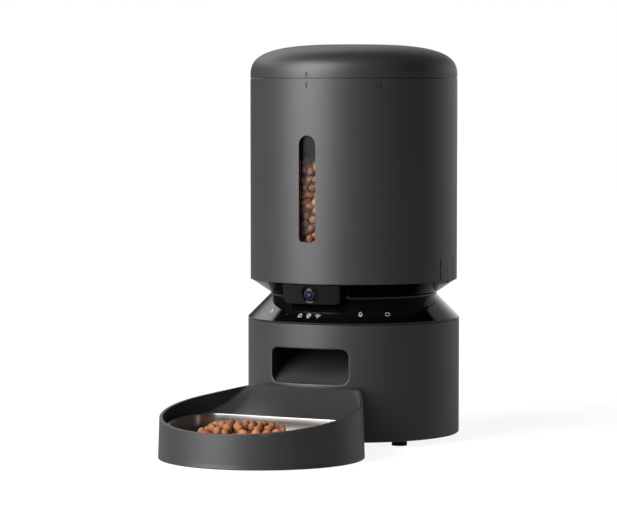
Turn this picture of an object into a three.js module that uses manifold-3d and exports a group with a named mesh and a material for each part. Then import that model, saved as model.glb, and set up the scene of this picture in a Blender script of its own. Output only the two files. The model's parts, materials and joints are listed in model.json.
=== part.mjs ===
// Camera pet feeder: a round hopper tower on a motor base, with a food tray and a steel bowl in front.
// Millimetres, +Z up, the bowl towards -Y. The origin is on the floor, at the centre of the footprint.
// Each piece is drawn about the tower's own axis; the whole is shifted once, at the end of the file.
import * as THREE from "three";
import { mergeVertices } from "three/addons/utils/BufferGeometryUtils.js";
import Module from "manifold-3d";

const wasm = await Module();
wasm.setup();

// Clearances and facets
const fitGap = 0.3; // between pieces that touch
const slideGap = 0.6; // between pieces that move past each other
const overrun = 2; // how far a cut runs past the face it opens
const shellSegments = 64; // what shows from outside
const innerSegments = 32; // what sits inside those shells, so its corners stay clear of their facets
const roundSegments = 20;
const smallSegments = 8;

// Tower: floor upwards
const footHeight = 5.3;
const baseRadius = 95;
const baseHeight = 102.8;
const ringLip = 1.7; // upright edge at the foot of the sloping ring
const coneRise = 21.3;
const collarHeight = 12.4;
const collarFootStep = 0.5; // the collar's foot stands this far outside the waist
const tankInset = 2.1; // the tank's wall stands this far inside the base's
const tankHeight = 179.6;
const lidHeight = 30.5;
const lidBulgeShare = 3.1; // exponent of the dome's outline
const lidPoints = 9;
const lidInnerPoints = 5;
const seamGap = 0.4;

const tankRadius = baseRadius - tankInset;
const baseTop = footHeight + baseHeight;
const waist = baseTop + ringLip + coneRise;
const waistRadius = baseRadius - coneRise;
const tankBottom = waist + collarHeight;
const seam = tankBottom + tankHeight;

// Walls
const baseWall = 2.8;
const panelWall = 2.4;
const tankWall = 3.5;
const lidWall = 2.5;
const innerWall = 2;
const edgeBevel = 1.2;

const baseInner = baseRadius - baseWall;
const tankInner = tankRadius - tankWall;

// Outlet in the base
const mouthHalfWidth = 37.5;
const mouthBottom = 56.4;
const mouthHeight = 30.3;
const mouthCorner = 6.5;

// Level window and the lid's alignment marks
const windowWidth = 16.2;
const windowBottom = 180.1;
const windowHeight = 93.4;
const windowCorner = 3.8;
const paneWall = 1.8;
const paneLap = 4;
const markWidth = 2.1;
const markHeight = 6.3;
const markDrop = 2.9;
const lidMarkHeight = 5;
const lidMarkRise = 0.6;
const markDepth = 0.8;
const markPairSpacing = 3.1;
const markPairWidth = 1.2;
const lidTurn = 40; // degrees between locked and open

// Latch tabs at the tank's sides
const tabWidth = 25;
const tabHeight = 20.5;
const tabSlit = 1.2;
const tabRecessDepth = 4.2;
const tabRecessDrop = 4.5;

// Spigots, which centre one ring in the next
const spigotHeight = 6;
const spigotWall = 2.4;

// Camera pod
const podTopHalfWidth = 28.7;
const podBottomHalfWidth = 26.9;
const podBottom = 125.6;
const podHeight = 17;
const podTopInset = 2.7; // from the tank's wall back to the pod's upper edge
const podLean = 3.6; // how far the lower edge stands behind the upper one
const podCorner = 3.5;
const podFace = 2.4;
const podCavityWidth = 40;
const podCavityHeight = 12;
const podCavityDepth = 20;
const lensHeight = 134;
const bezelRadius = 8;
const bezelWall = 1.8;
const bezelDepth = 3;
const bezelProud = 0.5;
const lensCrown = 1.6;
const lensEdge = 1;
const barrelRadius = 5.5;
const barrelLength = 6;
const cameraBoardWidth = 26;
const cameraBoardHeight = 11;

const podTopReach = tankRadius - podTopInset;
const podBottomReach = podTopReach - podLean;
const podBack = waistRadius + fitGap;

// Printed circuit boards
const boardThickness = 1.6;

// Dosing rotor, its chamber and the well that the chamber sits in
const rotorRadius = 39.2;
const rotorHeight = 24;
const rotorHub = 9;
const rotorVanes = 4;
const vaneThickness = 2.4;
const chamberWall = 2.2;
const wellWall = 2.4;
const outletHalfWidth = 14;
const outletInner = 14;
const outletLength = 24;
const baffleHalfAngle = 50;
const agitatorReach = 33;
const agitatorTiltDegrees = 12;
const agitatorThickness = 5;
const agitatorArms = 3;
const hubCapHeight = 6;
const funnelRise = 31;
const funnelRim = 3;

const rotorGap = 0.8; // between the vanes and the chamber's wall
const chamberInner = rotorRadius + rotorGap;
const chamberOuter = chamberInner + chamberWall;
const wellInner = chamberOuter + slideGap;
const wellOuter = wellInner + wellWall;
const tankFloor = waist + fitGap;
const tankFloorTop = tankFloor + innerWall;
const rotorTop = tankFloorTop - slideGap;
const rotorBottom = rotorTop - rotorHeight;
const chamberFloorTop = rotorBottom - slideGap;
const chamberFloor = chamberFloorTop - chamberWall;
const wellFloorTop = chamberFloor - fitGap;
const wellFloor = wellFloorTop - wellWall;

// Drive: motor, pinion, output gear and the dog that turns the rotor
const gearModule = 1.5;
const gearTeeth = 36;
const pinionTeeth = 12;
const gearThickness = 5;
const toothShare = 0.4; // tooth thickness at the pitch circle over the pitch
const shaftRadius = 4;
const dogRadius = 5;
const dogHeight = 9;
const motorRadius = 12;
const motorLength = 24;
const motorShaftRadius = 1.5;
const motorBossRadius = 4;
const gearboxDrop = 17.5; // from the well's floor to the gearbox's roof
const gearboxWall = 2;
const postRadius = 3;
const postSpread = 22;
const postBack = 16;

const gearPitch = (gearModule * gearTeeth) / 2;
const pinionPitch = (gearModule * pinionTeeth) / 2;
const gearCentres = gearPitch + pinionPitch;
const gearboxTop = wellFloor - gearboxDrop;
const gearRoom = gearThickness + 2 * slideGap;
const gearboxCoverBottom = gearboxTop - gearboxWall;
const gearBottom = gearboxCoverBottom - fitGap - slideGap - gearThickness;
const gearboxFloor = gearboxCoverBottom - fitGap - gearRoom - gearboxWall;

// Bottom: plate, battery bay, contacts, door, feet, screws, socket, board and speaker
const plateRecess = 0.5;
const plateThickness = 3;
const bayWidth = 106;
const bayDepth = 64;
const bayHeight = 35;
const bayBack = 20; // centre of the bay behind the tower's axis
const doorLap = 2;
const contactThickness = 0.8;
const contactWidth = 12;
const contactHeight = 14;
const contactDrop = 21; // from the bay's roof to a contact's foot
const footRadius = 6.85;
const footInset = 18.3; // from the base's outer wall to a foot's middle
const footAngle = 58;
const screwInset = 6.2; // from the base's inner wall to a screw's middle
const screwAngle = 30;
const screwHead = 3.2;
const screwHeadHeight = 2;
const screwShank = 1.4;
const screwLength = 12;
const bossRadius = 4;
const bossHeight = 20;
const socketHeight = 26;
const socketRadius = 4.2;
const socketBore = 3.1;
const socketPin = 0.9;
const socketDepth = 9;
const socketFloor = 2;
const mainBoardWidth = 34;
const mainBoardDepth = 56;
const mainBoardLeft = 18;
const chipSize = 12;
const chipHeight = 2.2;
const speakerRadius = 18;
const speakerHeight = 9;
const speakerFront = 50;
const soundHole = 1.5;
const soundRing = 8;
const soundHoles = 6;
const touchBoardStart = -36;
const touchBoardEnd = 52;
const touchBoardWidth = 10;

const screwPlace = baseInner - screwInset;
const footPlace = baseRadius - footInset;
const plateBottom = footHeight + plateRecess;
const plateTop = plateBottom + plateThickness;

// Lid: liner, seal and desiccant case
const linerWall = 2.5;
const linerDepth = 7;
const linerGap = 6.5; // between the liner's drum and the tank's wall
const sealHeight = 5;
const caseRadius = 31;
const caseHeight = 15;
const caseWall = 1.8;
const coverHole = 2.2;
const coverHoles = 8;
const coverHoleRing = 18;

const linerBottom = seam - linerDepth;
const linerRadius = tankInner - linerGap;

// Tray and bowl
const trayRadius = 88.2;
const trayStandoff = 82.8; // from the base's wall to the middle of the tray's round front
const trayTaper = 26.8; // degrees between a side wall and the tray's centre line
const trayWall = 4;
const trayFrontHeight = 29.2;
const trayBackHeight = 54.4;
const trayShoulder = 7; // the sloping rim is at its full height this far from the base's front
const trayBottom = 0.5;
const trayEdge = 1;
const padRadius = 6;
const padHeight = 1.8;
const padPlace = 62;
const bowlStandoff = 47.5; // from the base's wall to the bowl's flat back edge
const bowlRimRadius = 81.5;
const bowlCorner = 22;
const bowlRimWidth = 3;
const bowlWall = 1.2;
const bowlDepth = 22;
const bowlLean = 9; // how far the wall draws in towards the bowl's floor
const bowlRise = 16; // height of that round
const chuteSweep = 68; // degrees that the chute's curve turns
const bowlTilt = 2.5; // degrees
const bowlFrontHeight = 27.4; // top of the rim at its front
const outlineSteps = 32;
const outlineShortSteps = 4;

const trayCentre = baseRadius + trayStandoff;
const bowlBack = baseRadius + bowlStandoff;

const radians = THREE.MathUtils.degToRad;
const wedgeStepDegrees = 30;
const finishes = {
  shell: new THREE.MeshStandardMaterial({ color: "#39393b", roughness: 0.5, metalness: 0 }),
  gloss: new THREE.MeshStandardMaterial({ color: "#0b0b0c", roughness: 0.12, metalness: 0 }),
  pod: new THREE.MeshStandardMaterial({ color: "#1b1b1d", roughness: 0.35, metalness: 0 }),
  inner: new THREE.MeshStandardMaterial({ color: "#232325", roughness: 0.6, metalness: 0 }),
  clear: new THREE.MeshStandardMaterial({ color: "#3c3d40", roughness: 0.1, metalness: 0 }),
  glass: new THREE.MeshStandardMaterial({ color: "#15152a", roughness: 0.03, metalness: 0 }),
  silicone: new THREE.MeshStandardMaterial({ color: "#8e8f90", roughness: 0.7, metalness: 0 }),
  rubber: new THREE.MeshStandardMaterial({ color: "#121212", roughness: 0.85, metalness: 0 }),
  steel: new THREE.MeshStandardMaterial({ color: "#b9b9b8", roughness: 0.28, metalness: 1 }),
  spring: new THREE.MeshStandardMaterial({ color: "#c9c6bd", roughness: 0.3, metalness: 1 }),
  gear: new THREE.MeshStandardMaterial({ color: "#e4e1d8", roughness: 0.5, metalness: 0 }),
  board: new THREE.MeshStandardMaterial({ color: "#1d5b35", roughness: 0.5, metalness: 0 }),
  granules: new THREE.MeshStandardMaterial({ color: "#dcdcd6", roughness: 0.9, metalness: 0 }),
};

// Closed geometry to solid: shared corners merged, slivers dropped, faces turned outward.
function solidOf(geometry) {
  const bare = geometry.clone();
  bare.deleteAttribute("normal");
  bare.deleteAttribute("uv");
  const merged = mergeVertices(bare);
  const index = merged.index.array;
  const places = merged.attributes.position;
  const kept = [];
  const corners = [new THREE.Vector3(), new THREE.Vector3(), new THREE.Vector3()];
  let volume = 0;
  for (let i = 0; i < index.length; i += 3) {
    const face = [index[i], index[i + 1], index[i + 2]];
    if (face[0] === face[1] || face[1] === face[2] || face[2] === face[0]) continue;
    face.forEach((corner, k) => corners[k].fromBufferAttribute(places, corner));
    volume += corners[0].dot(corners[1].clone().cross(corners[2]));
    kept.push(face);
  }
  const faces = volume > 0 ? kept : kept.map((face) => [face[0], face[2], face[1]]);
  return new wasm.Manifold(
    new wasm.Mesh({
      numProp: 3,
      vertProperties: Float32Array.from(places.array),
      triVerts: Uint32Array.from(faces.flat()),
    }),
  );
}

// Solid to mesh, named and coloured.
function piece(name, solid, material) {
  const result = solid.getMesh();
  const geometry = new THREE.BufferGeometry();
  geometry.setAttribute("position", new THREE.BufferAttribute(result.vertProperties, 3));
  geometry.setIndex(new THREE.BufferAttribute(result.triVerts, 1));
  geometry.computeVertexNormals();
  const mesh = new THREE.Mesh(geometry, material);
  mesh.name = name;
  return mesh;
}

const joined = (solids) => solids.reduce((sum, solid) => sum.add(solid));
const cutBy = (solid, cuts) => cuts.reduce((rest, cut) => rest.subtract(cut), solid);

// Turned solid about the Z axis. The profile holds [radius, height] pairs, and it
// either starts and ends on the axis or closes on itself.
function turned(profile, segments = shellSegments) {
  const closed = profile[0][0] > 0 || profile[profile.length - 1][0] > 0;
  const points = (closed ? [...profile, profile[0]] : profile).map(([r, z]) => new THREE.Vector2(r, z));
  return solidOf(new THREE.LatheGeometry(points, segments).rotateX(Math.PI / 2));
}

// Straight round drum standing on `bottom`.
function drum(radius, bottom, height, x = 0, y = 0, segments = roundSegments) {
  const shape = new THREE.CylinderGeometry(radius, radius, height, segments);
  return solidOf(shape.rotateX(Math.PI / 2).translate(x, y, bottom + height / 2));
}

// Upright block centred on x and y, standing on `bottom`.
function block(width, depth, height, x, y, bottom) {
  return solidOf(new THREE.BoxGeometry(width, depth, height).translate(x, y, bottom + height / 2));
}

// Outline in X and Y, raised from `bottom`.
function raised(points, bottom, height) {
  const shape = new THREE.Shape(points.map(([x, y]) => new THREE.Vector2(x, y)));
  const solid = new THREE.ExtrudeGeometry(shape, { depth: height, bevelEnabled: false });
  return solidOf(solid.translate(0, 0, bottom));
}

// Outline in X and Z, pushed from `front` towards +Y.
function pushed(points, front, depth) {
  const shape = new THREE.Shape(points.map(([x, z]) => new THREE.Vector2(x, -z)));
  const solid = new THREE.ExtrudeGeometry(shape, { depth, bevelEnabled: false });
  return solidOf(solid.rotateX(-Math.PI / 2).rotateX(Math.PI).scale(1, -1, -1).translate(0, front, 0));
}

// Points of a circle's arc, in degrees measured from +X.
function arc(x, y, radius, from, to, steps) {
  return Array.from({ length: steps + 1 }, (_, i) => {
    const angle = radians(from + ((to - from) * i) / steps);
    return [x + radius * Math.cos(angle), y + radius * Math.sin(angle)];
  });
}

// Rectangle with four round corners, whose upper two may be rounder.
function roundedBox(width, height, x, y, lower, upper = lower, steps = outlineShortSteps) {
  const [left, right] = [x - width / 2, x + width / 2];
  const [low, high] = [y - height / 2, y + height / 2];
  return [
    ...arc(right - lower, low + lower, lower, -90, 0, steps),
    ...arc(right - upper, high - upper, upper, 0, 90, steps),
    ...arc(left + upper, high - upper, upper, 90, 180, steps),
    ...arc(left + lower, low + lower, lower, 180, 270, steps),
  ];
}

// Point at an angle from the front, counted towards +X.
function around(radius, degrees) {
  return [radius * Math.sin(radians(degrees)), -radius * Math.cos(radians(degrees))];
}

// Wedge seen from above, between two angles from the front.
function wedge(reach, from, to, bottom, height) {
  const steps = Math.ceil((to - from) / wedgeStepDegrees);
  const turnTo = (i) => from + ((to - from) * i) / steps;
  const rim = Array.from({ length: steps + 1 }, (_, i) => around(reach * 2, turnTo(i)));
  return raised([[0, 0], ...rim], bottom, height);
}

// Lid

// Dome outline from the rim up to the axis: a superellipse.
function domeProfile(radius, height, bottom, points) {
  const power = 2 / lidBulgeShare;
  return Array.from({ length: points + 1 }, (_, i) => {
    const angle = ((Math.PI / 2) * i) / points;
    const reach = i === points ? 0 : radius * Math.cos(angle) ** power;
    return [reach, bottom + height * Math.sin(angle) ** power];
  });
}

// Round-ended groove for an alignment mark, cut into a wall of the given radius.
function markGroove(radius, degrees, middle, width, height) {
  const outline = roundedBox(width, height, 0, middle, width / 2 - width / 20);
  const groove = pushed(outline, -radius - overrun, overrun + markDepth);
  return groove.rotate([0, 0, degrees]);
}

function makeLid() {
  const rim = seam + seamGap;
  const outside = domeProfile(tankRadius, lidHeight - seamGap, rim, lidPoints);
  const inside = domeProfile(tankRadius - lidWall, lidHeight - seamGap - lidWall, rim, lidInnerPoints);
  const dome = turned([...outside, ...inside.reverse()]);
  const markMiddle = rim + lidMarkRise + lidMarkHeight / 2;
  const mark = markGroove(tankRadius, 0, markMiddle, markWidth, lidMarkHeight);
  const flangeTop = rim + linerWall;
  const drumTop = linerBottom + linerWall;
  const liner = turned([
    [0, drumTop],
    [linerRadius - linerWall, drumTop],
    [linerRadius - linerWall, flangeTop],
    [tankRadius - lidWall - fitGap * 3, flangeTop],
    [tankRadius - lidWall - fitGap * 3, rim],
    [linerRadius, rim],
    [linerRadius, linerBottom],
    [0, linerBottom],
  ], innerSegments);
  const sealTop = seam - fitGap;
  const sealBottom = sealTop - sealHeight;
  const sealInner = linerRadius + slideGap;
  const sealOuter = tankInner - fitGap;
  const sealMiddle = sealBottom + sealHeight / 2;
  const seal = turned([
    [sealInner, sealBottom],
    [sealInner + innerWall, sealBottom],
    [sealOuter, sealMiddle],
    [sealInner + innerWall, sealMiddle],
    [sealOuter, sealTop],
    [sealInner, sealTop],
  ], innerSegments);
  return [
    piece("lid_shell", dome.subtract(mark), finishes.shell),
    piece("lid_liner", liner, finishes.inner),
    piece("lid_seal", seal, finishes.silicone),
    ...makeDesiccant(),
  ];
}

function makeDesiccant() {
  const caseTop = linerBottom - fitGap;
  const caseBottom = caseTop - caseHeight;
  const caseInner = caseRadius - caseWall;
  const coverTop = caseBottom + caseWall;
  const body = turned(
    [
      [0, caseTop],
      [caseRadius, caseTop],
      [caseRadius, caseBottom],
      [caseInner, caseBottom],
      [caseInner, caseTop - caseWall],
      [0, caseTop - caseWall],
    ],
    roundSegments,
  );
  const packBottom = coverTop + fitGap;
  const pack = drum(caseInner - slideGap, packBottom, caseTop - caseWall - fitGap - packBottom);
  const holes = Array.from({ length: coverHoles }, (_, i) => {
    const [x, y] = around(coverHoleRing, (360 * i) / coverHoles);
    return drum(coverHole, caseBottom - overrun, caseWall + overrun * 2, x, y, smallSegments);
  });
  const cover = cutBy(drum(caseInner - fitGap, caseBottom, caseWall), holes);
  return [
    piece("desiccant_case", body, finishes.inner),
    piece("desiccant_pack", pack, finishes.granules),
    piece("desiccant_cover", cover, finishes.inner),
  ];
}

// Tank

function windowCut(inset, front, depth) {
  const width = windowWidth + inset * 2;
  const height = windowHeight + inset * 2;
  const top = width / 2 - windowWidth / 100;
  const middle = windowBottom + windowHeight / 2;
  return pushed(roundedBox(width, height, 0, middle, windowCorner + inset, top), front, depth);
}

// Box at one of the tank's sides, where a latch tab sits.
function tabBox(side, margin, top, bottom, inner) {
  const reach = tankRadius + overrun - inner;
  return block(reach, tabWidth + margin * 2, top - bottom, side * (inner + reach / 2), 0, bottom);
}

function makeTank() {
  const wall = turned([
    [tankRadius, tankBottom + edgeBevel],
    [tankRadius, seam],
    [tankInner, seam],
    [tankInner, tankBottom],
    [tankRadius - edgeBevel, tankBottom],
  ]);
  const tabTop = tankBottom + tabHeight;
  const tabInner = tankInner - overrun;
  const sides = [-1, 1];
  const slits = sides.map((side) => tabBox(side, tabSlit, tabTop + fitGap, tankBottom - overrun, tabInner));
  const marks = [
    markGroove(tankRadius, 0, seam - markDrop - markHeight / 2, markWidth, markHeight),
    ...sides.map((side) => {
      const turn = lidTurn + (side * markPairSpacing * 90) / (tankRadius * Math.PI);
      return markGroove(tankRadius, turn, seam - markDrop - markHeight / 2, markPairWidth, markHeight);
    }),
  ];
  const front = -tankRadius - overrun;
  const shell = cutBy(wall, [...slits, ...marks, windowCut(0, front, tankRadius / 2)]);
  const paneOuter = tankInner - fitGap;
  const paneTop = windowBottom + windowHeight + paneLap;
  const paneRing = turned([
    [paneOuter, windowBottom - paneLap],
    [paneOuter, paneTop],
    [paneOuter - paneWall, paneTop],
    [paneOuter - paneWall, windowBottom - paneLap],
  ]);
  const pane = paneRing.intersect(windowCut(paneLap, front, tankRadius / 2));
  const tabs = sides.map((side) => {
    const tab = wall.intersect(tabBox(side, 0, tabTop, tankBottom - overrun, tabInner));
    return piece(side < 0 ? "latch_tab_left" : "latch_tab_right", tab, finishes.shell);
  });
  return [
    piece("tank_shell", shell, finishes.shell),
    piece("window_pane", pane, finishes.clear),
    ...tabs,
    piece("tank_collar", makeCollar(sides), finishes.gloss),
  ];
}

// Chamfered ring between the tank's wall and the waist, open round the camera pod.
function makeCollar(sides) {
  const foot = [waistRadius + collarFootStep, waist + fitGap];
  const top = [tankRadius - edgeBevel, tankBottom - fitGap];
  const slope = (top[1] - foot[1]) / (top[0] - foot[0]);
  const lift = panelWall * Math.sqrt(1 + slope ** 2);
  const spigotOuter = tankInner - fitGap;
  const spigotInner = spigotOuter - spigotWall;
  const inner = foot[0] - panelWall;
  const ring = turned([
    foot,
    top,
    [spigotOuter, top[1]],
    [spigotOuter, top[1] + spigotHeight],
    [spigotInner, top[1] + spigotHeight],
    [spigotInner, foot[1] + (spigotInner - foot[0]) * slope + lift],
    [inner, foot[1] + (inner - foot[0]) * slope + lift],
    [inner, foot[1]],
  ]);
  const room = spigotInner - spigotWall;
  const tops = sides.map((side) => tabBox(side, tabSlit, top[1] + spigotHeight + overrun, top[1], room));
  const scoops = sides.map((side) => {
    const reach = tankRadius - tabRecessDepth;
    return tabBox(side, -tabSlit * 2, top[1] + overrun, top[1] - tabRecessDrop, reach);
  });
  return cutBy(ring, [...tops, ...scoops, podBlank(slideGap, overrun * 2)]);
}

// Funnel, dosing chamber, baffle and rotor

function makeHopperFloor() {
  const funnelFoot = tankFloorTop + fitGap;
  const funnelOuter = tankInner - fitGap;
  const bore = chamberInner + innerWall;
  const top = funnelFoot + funnelRise + funnelRim;
  const funnel = turned([
    [bore, funnelFoot],
    [bore + funnelRim, funnelFoot],
    [funnelOuter, funnelFoot + funnelRise],
    [funnelOuter, top],
    [funnelOuter - innerWall, top],
  ], innerSegments);
  const chamber = turned(
    [
      [rotorHub - innerWall, chamberFloor],
      [chamberOuter, chamberFloor],
      [chamberOuter, tankFloor],
      [waistRadius + collarFootStep - panelWall - fitGap, tankFloor],
      [waistRadius + collarFootStep - panelWall - fitGap, tankFloorTop],
      [chamberInner, tankFloorTop],
      [chamberInner, chamberFloorTop],
      [rotorHub - innerWall, chamberFloorTop],
    ],
    innerSegments,
  );
  const baffleRing = turned([
    [rotorHub + slideGap, funnelFoot],
    [bore - fitGap, funnelFoot],
    [bore - fitGap, funnelFoot + innerWall],
    [rotorHub + slideGap, funnelFoot + innerWall],
  ], innerSegments);
  const cutBottom = funnelFoot - overrun;
  const reach = wedge(tankRadius, -baffleHalfAngle, baffleHalfAngle, cutBottom, innerWall + overrun * 2);
  return [
    piece("hopper_funnel", funnel, finishes.inner),
    piece("rotor_chamber", chamber.subtract(outletBlock(chamberFloor, chamberWall)), finishes.inner),
    piece("portion_baffle", baffleRing.intersect(reach), finishes.inner),
  ];
}

// Outlet through a floor of the given bottom and thickness, at the front of the rotor.
function outletBlock(bottom, thickness) {
  const middle = -outletInner - outletLength / 2;
  return block(outletHalfWidth * 2, outletLength, thickness + overrun * 2, 0, middle, bottom - overrun);
}

function hexDrum(radius, bottom, height) {
  return drum(radius, bottom, height, 0, 0, 6);
}

function makeRotor() {
  const hubTop = tankFloorTop + fitGap + innerWall + slideGap + hubCapHeight;
  const hub = drum(rotorHub, rotorBottom, hubTop - rotorBottom);
  const vanes = Array.from({ length: rotorVanes }, (_, i) => {
    const length = rotorRadius - rotorHub / 2;
    const vane = block(length, vaneThickness, rotorHeight, rotorRadius - length / 2, 0, rotorBottom);
    return vane.rotate([0, 0, (360 * (i + 1 / 2)) / rotorVanes]);
  });
  const socket = hexDrum(dogRadius + slideGap, rotorBottom - overrun, dogHeight + overrun);
  const capBottom = hubTop + fitGap;
  const arms = Array.from({ length: agitatorArms }, (_, i) => {
    const arm = block(agitatorReach, agitatorThickness, agitatorThickness, agitatorReach / 2, 0, 0);
    const lifted = arm.rotate([0, -agitatorTiltDegrees, 0]).translate([0, 0, capBottom]);
    return lifted.rotate([0, 0, (360 * i) / agitatorArms]);
  });
  const blade = joined([drum(rotorHub, capBottom, agitatorThickness), ...arms]);
  const floor = block(agitatorReach * 3, agitatorReach * 3, agitatorReach, 0, 0, capBottom - agitatorReach);
  return [
    piece("dosing_rotor", joined([hub, ...vanes]).subtract(socket), finishes.inner),
    piece("agitator", blade.subtract(floor), finishes.silicone),
  ];
}

// Gears

// Straight-sided teeth about the Z axis; the first tooth points at `turn`.
function gearSolid(teeth, bottom, thickness, turn) {
  const pitch = (gearModule * teeth) / 2;
  const tip = pitch + gearModule * toothShare * 2;
  const root = pitch - gearModule;
  const step = 360 / teeth;
  const half = (step * toothShare) / 2;
  const points = Array.from({ length: teeth }, (_, i) => {
    const middle = turn + step * i;
    return [
      ...arc(0, 0, root, middle - half * 3 / 2, middle - half * 3 / 2, 1).slice(1),
      ...arc(0, 0, tip, middle - half / 2, middle + half / 2, 1),
      ...arc(0, 0, root, middle + half * 3 / 2, middle + half * 3 / 2, 1).slice(1),
    ];
  }).flat();
  return raised(points, bottom, thickness);
}

// Two circles in one outline with straight tangent sides; the small one is towards +Y.
function pearOutline(margin) {
  const large = gearPitch + gearModule * 2 + margin;
  const small = pinionPitch + gearModule * 2 + margin;
  const lean = (Math.asin((large - small) / gearCentres) * 180) / Math.PI;
  return [
    ...arc(0, 0, large, 180 - lean, 360 + lean, roundSegments),
    ...arc(0, gearCentres, small, lean, 180 - lean, smallSegments),
  ];
}

function makeDrive() {
  const floorTop = gearboxFloor + gearboxWall;
  const room = gearboxCoverBottom - fitGap - floorTop;
  const cup = cutBy(raised(pearOutline(slideGap + gearboxWall), gearboxFloor, room + gearboxWall), [
    raised(pearOutline(slideGap), floorTop, room + overrun),
    drum(motorBossRadius + fitGap, gearboxFloor - overrun, gearboxWall + overrun * 2, 0, gearCentres),
  ]);
  const postBottom = gearboxTop - gearboxWall / 2;
  const posts = [-postSpread, postSpread].map((x) =>
    drum(postRadius, postBottom, wellFloor - fitGap - postBottom, x, postBack, smallSegments),
  );
  const plate = raised(pearOutline(slideGap + gearboxWall), gearboxCoverBottom, gearboxWall);
  const bore = drum(shaftRadius + fitGap, gearboxCoverBottom - overrun, gearboxWall + overrun * 2);
  const cover = joined([plate, ...posts]).subtract(bore);
  const gear = gearSolid(gearTeeth, gearBottom, gearThickness, 90 + 180 / gearTeeth);
  const shaftBottom = floorTop + fitGap;
  const dogTop = rotorBottom + dogHeight - slideGap;
  const dogBottom = wellFloorTop + fitGap;
  const shaft = joined([
    drum(shaftRadius, shaftBottom, dogBottom + overrun - shaftBottom),
    hexDrum(dogRadius, dogBottom, dogTop - dogBottom),
  ]);
  const gearBore = drum(shaftRadius + fitGap, gearBottom - overrun, gearThickness + overrun * 2);
  const motorTop = gearboxFloor - fitGap;
  const motor = joined([
    drum(motorRadius, motorTop - motorLength, motorLength, 0, gearCentres),
    drum(motorBossRadius, motorTop - overrun, overrun + gearboxWall, 0, gearCentres),
  ]);
  const pinion = gearSolid(pinionTeeth, gearBottom, gearThickness, -90).translate([0, gearCentres, 0]);
  const pinionShaftBottom = motorTop + gearboxWall + fitGap;
  const pinionShaftLength = gearBottom - pinionShaftBottom + overrun;
  const pinionShaft = drum(
    motorShaftRadius,
    pinionShaftBottom,
    pinionShaftLength,
    0,
    gearCentres,
    smallSegments,
  );
  return [
    piece("gearbox_housing", cup, finishes.inner),
    piece("gearbox_cover", cover, finishes.inner),
    piece("output_gear", gear.subtract(gearBore), finishes.gear),
    piece("drive_shaft", shaft, finishes.steel),
    piece("drive_motor", motor, finishes.steel),
    piece("motor_pinion", joined([pinion, pinionShaft]), finishes.gear),
  ];
}

// Base

function mouthOutline(inset) {
  const width = (mouthHalfWidth + inset) * 2;
  const height = mouthHeight + inset * 2;
  return roundedBox(width, height, 0, mouthBottom + mouthHeight / 2, mouthCorner + inset);
}

function makeBaseShell() {
  const wall = turned([
    [baseRadius, footHeight + edgeBevel],
    [baseRadius, baseTop],
    [baseInner, baseTop],
    [baseInner, footHeight],
    [baseRadius - edgeBevel, footHeight],
  ]);
  const bossBottom = plateTop + fitGap;
  const bosses = screwPlaces().map(([x, y]) => drum(bossRadius, bossBottom, bossHeight, x, y, smallSegments));
  const webs = screwPlaces().map(([x, y]) => {
    const reach = baseRadius - baseWall / 2 - screwPlace;
    const web = block(bossRadius, reach, bossHeight, 0, -screwPlace - reach / 2, bossBottom);
    return web.rotate([0, 0, (Math.atan2(x, -y) * 180) / Math.PI]);
  });
  const pilots = screwPlaces().map(([x, y]) =>
    drum(screwShank + fitGap, bossBottom - overrun, screwLength + overrun * 2, x, y, smallSegments),
  );
  const mouth = pushed(mouthOutline(0), -baseRadius - overrun, baseRadius / 2);
  const socketRoom = socketRadius + fitGap;
  const bore = new THREE.CylinderGeometry(socketRoom, socketRoom, baseWall * 4, roundSegments);
  const socket = solidOf(bore.translate(0, baseRadius, socketHeight));
  const shell = cutBy(joined([wall, ...bosses, ...webs]), [...pilots, mouth, socket]);
  return piece("base_shell", shell, finishes.shell);
}

function screwPlaces() {
  const angles = [screwAngle, 180 - screwAngle, 180 + screwAngle, 360 - screwAngle];
  return angles.map((angle) => around(screwPlace, angle));
}

function footPlaces() {
  const angles = [footAngle, 180 - footAngle, 180 + footAngle, 360 - footAngle];
  return angles.map((angle) => around(footPlace, angle));
}

// Glossy sloping ring with the touch icons, centred in the base by a spigot.
function makePanel() {
  const foot = baseTop + fitGap;
  const spigotOuter = baseInner - fitGap;
  const spigotInner = spigotOuter - spigotWall;
  const inner = waistRadius - panelWall;
  const ring = turned([
    [baseRadius, foot],
    [baseRadius, baseTop + ringLip],
    [waistRadius, waist],
    [inner, waist],
    [spigotInner, waist - (spigotInner - inner)],
    [spigotInner, foot - spigotHeight],
    [spigotOuter, foot - spigotHeight],
    [spigotOuter, foot],
  ]);
  const boardDrop = panelWall * Math.SQRT2 + fitGap;
  const boardOuter = waistRadius + touchBoardWidth;
  const band = [
    [boardOuter, waist - touchBoardWidth - boardDrop],
    [boardOuter - touchBoardWidth, waist - boardDrop],
    [boardOuter - touchBoardWidth, waist - boardDrop - boardThickness * Math.SQRT2],
    [boardOuter, waist - touchBoardWidth - boardDrop - boardThickness * Math.SQRT2],
  ];
  const reach = wedge(baseRadius, touchBoardStart, touchBoardEnd, baseTop, waist);
  const board = turned(band).intersect(reach).subtract(podBlank(slideGap, overrun * 4));
  return [
    piece("control_panel", ring.subtract(podBlank(fitGap, 0)), finishes.gloss),
    piece("touch_board", board, finishes.board),
  ];
}

// Deck inside the waist with the well that takes the dosing chamber.
function makeDeck() {
  const top = waist - fitGap;
  const rim = waistRadius - panelWall - fitGap;
  const deck = turned([
    [shaftRadius + dogRadius, wellFloor],
    [wellOuter, wellFloor],
    [wellOuter, top - wellWall],
    [rim, top - wellWall],
    [rim, top],
    [wellInner, top],
    [wellInner, wellFloorTop],
    [shaftRadius + dogRadius, wellFloorTop],
  ], innerSegments);
  return piece("well_deck", deck.subtract(outletBlock(wellFloor, wellWall)), finishes.inner);
}

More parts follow.
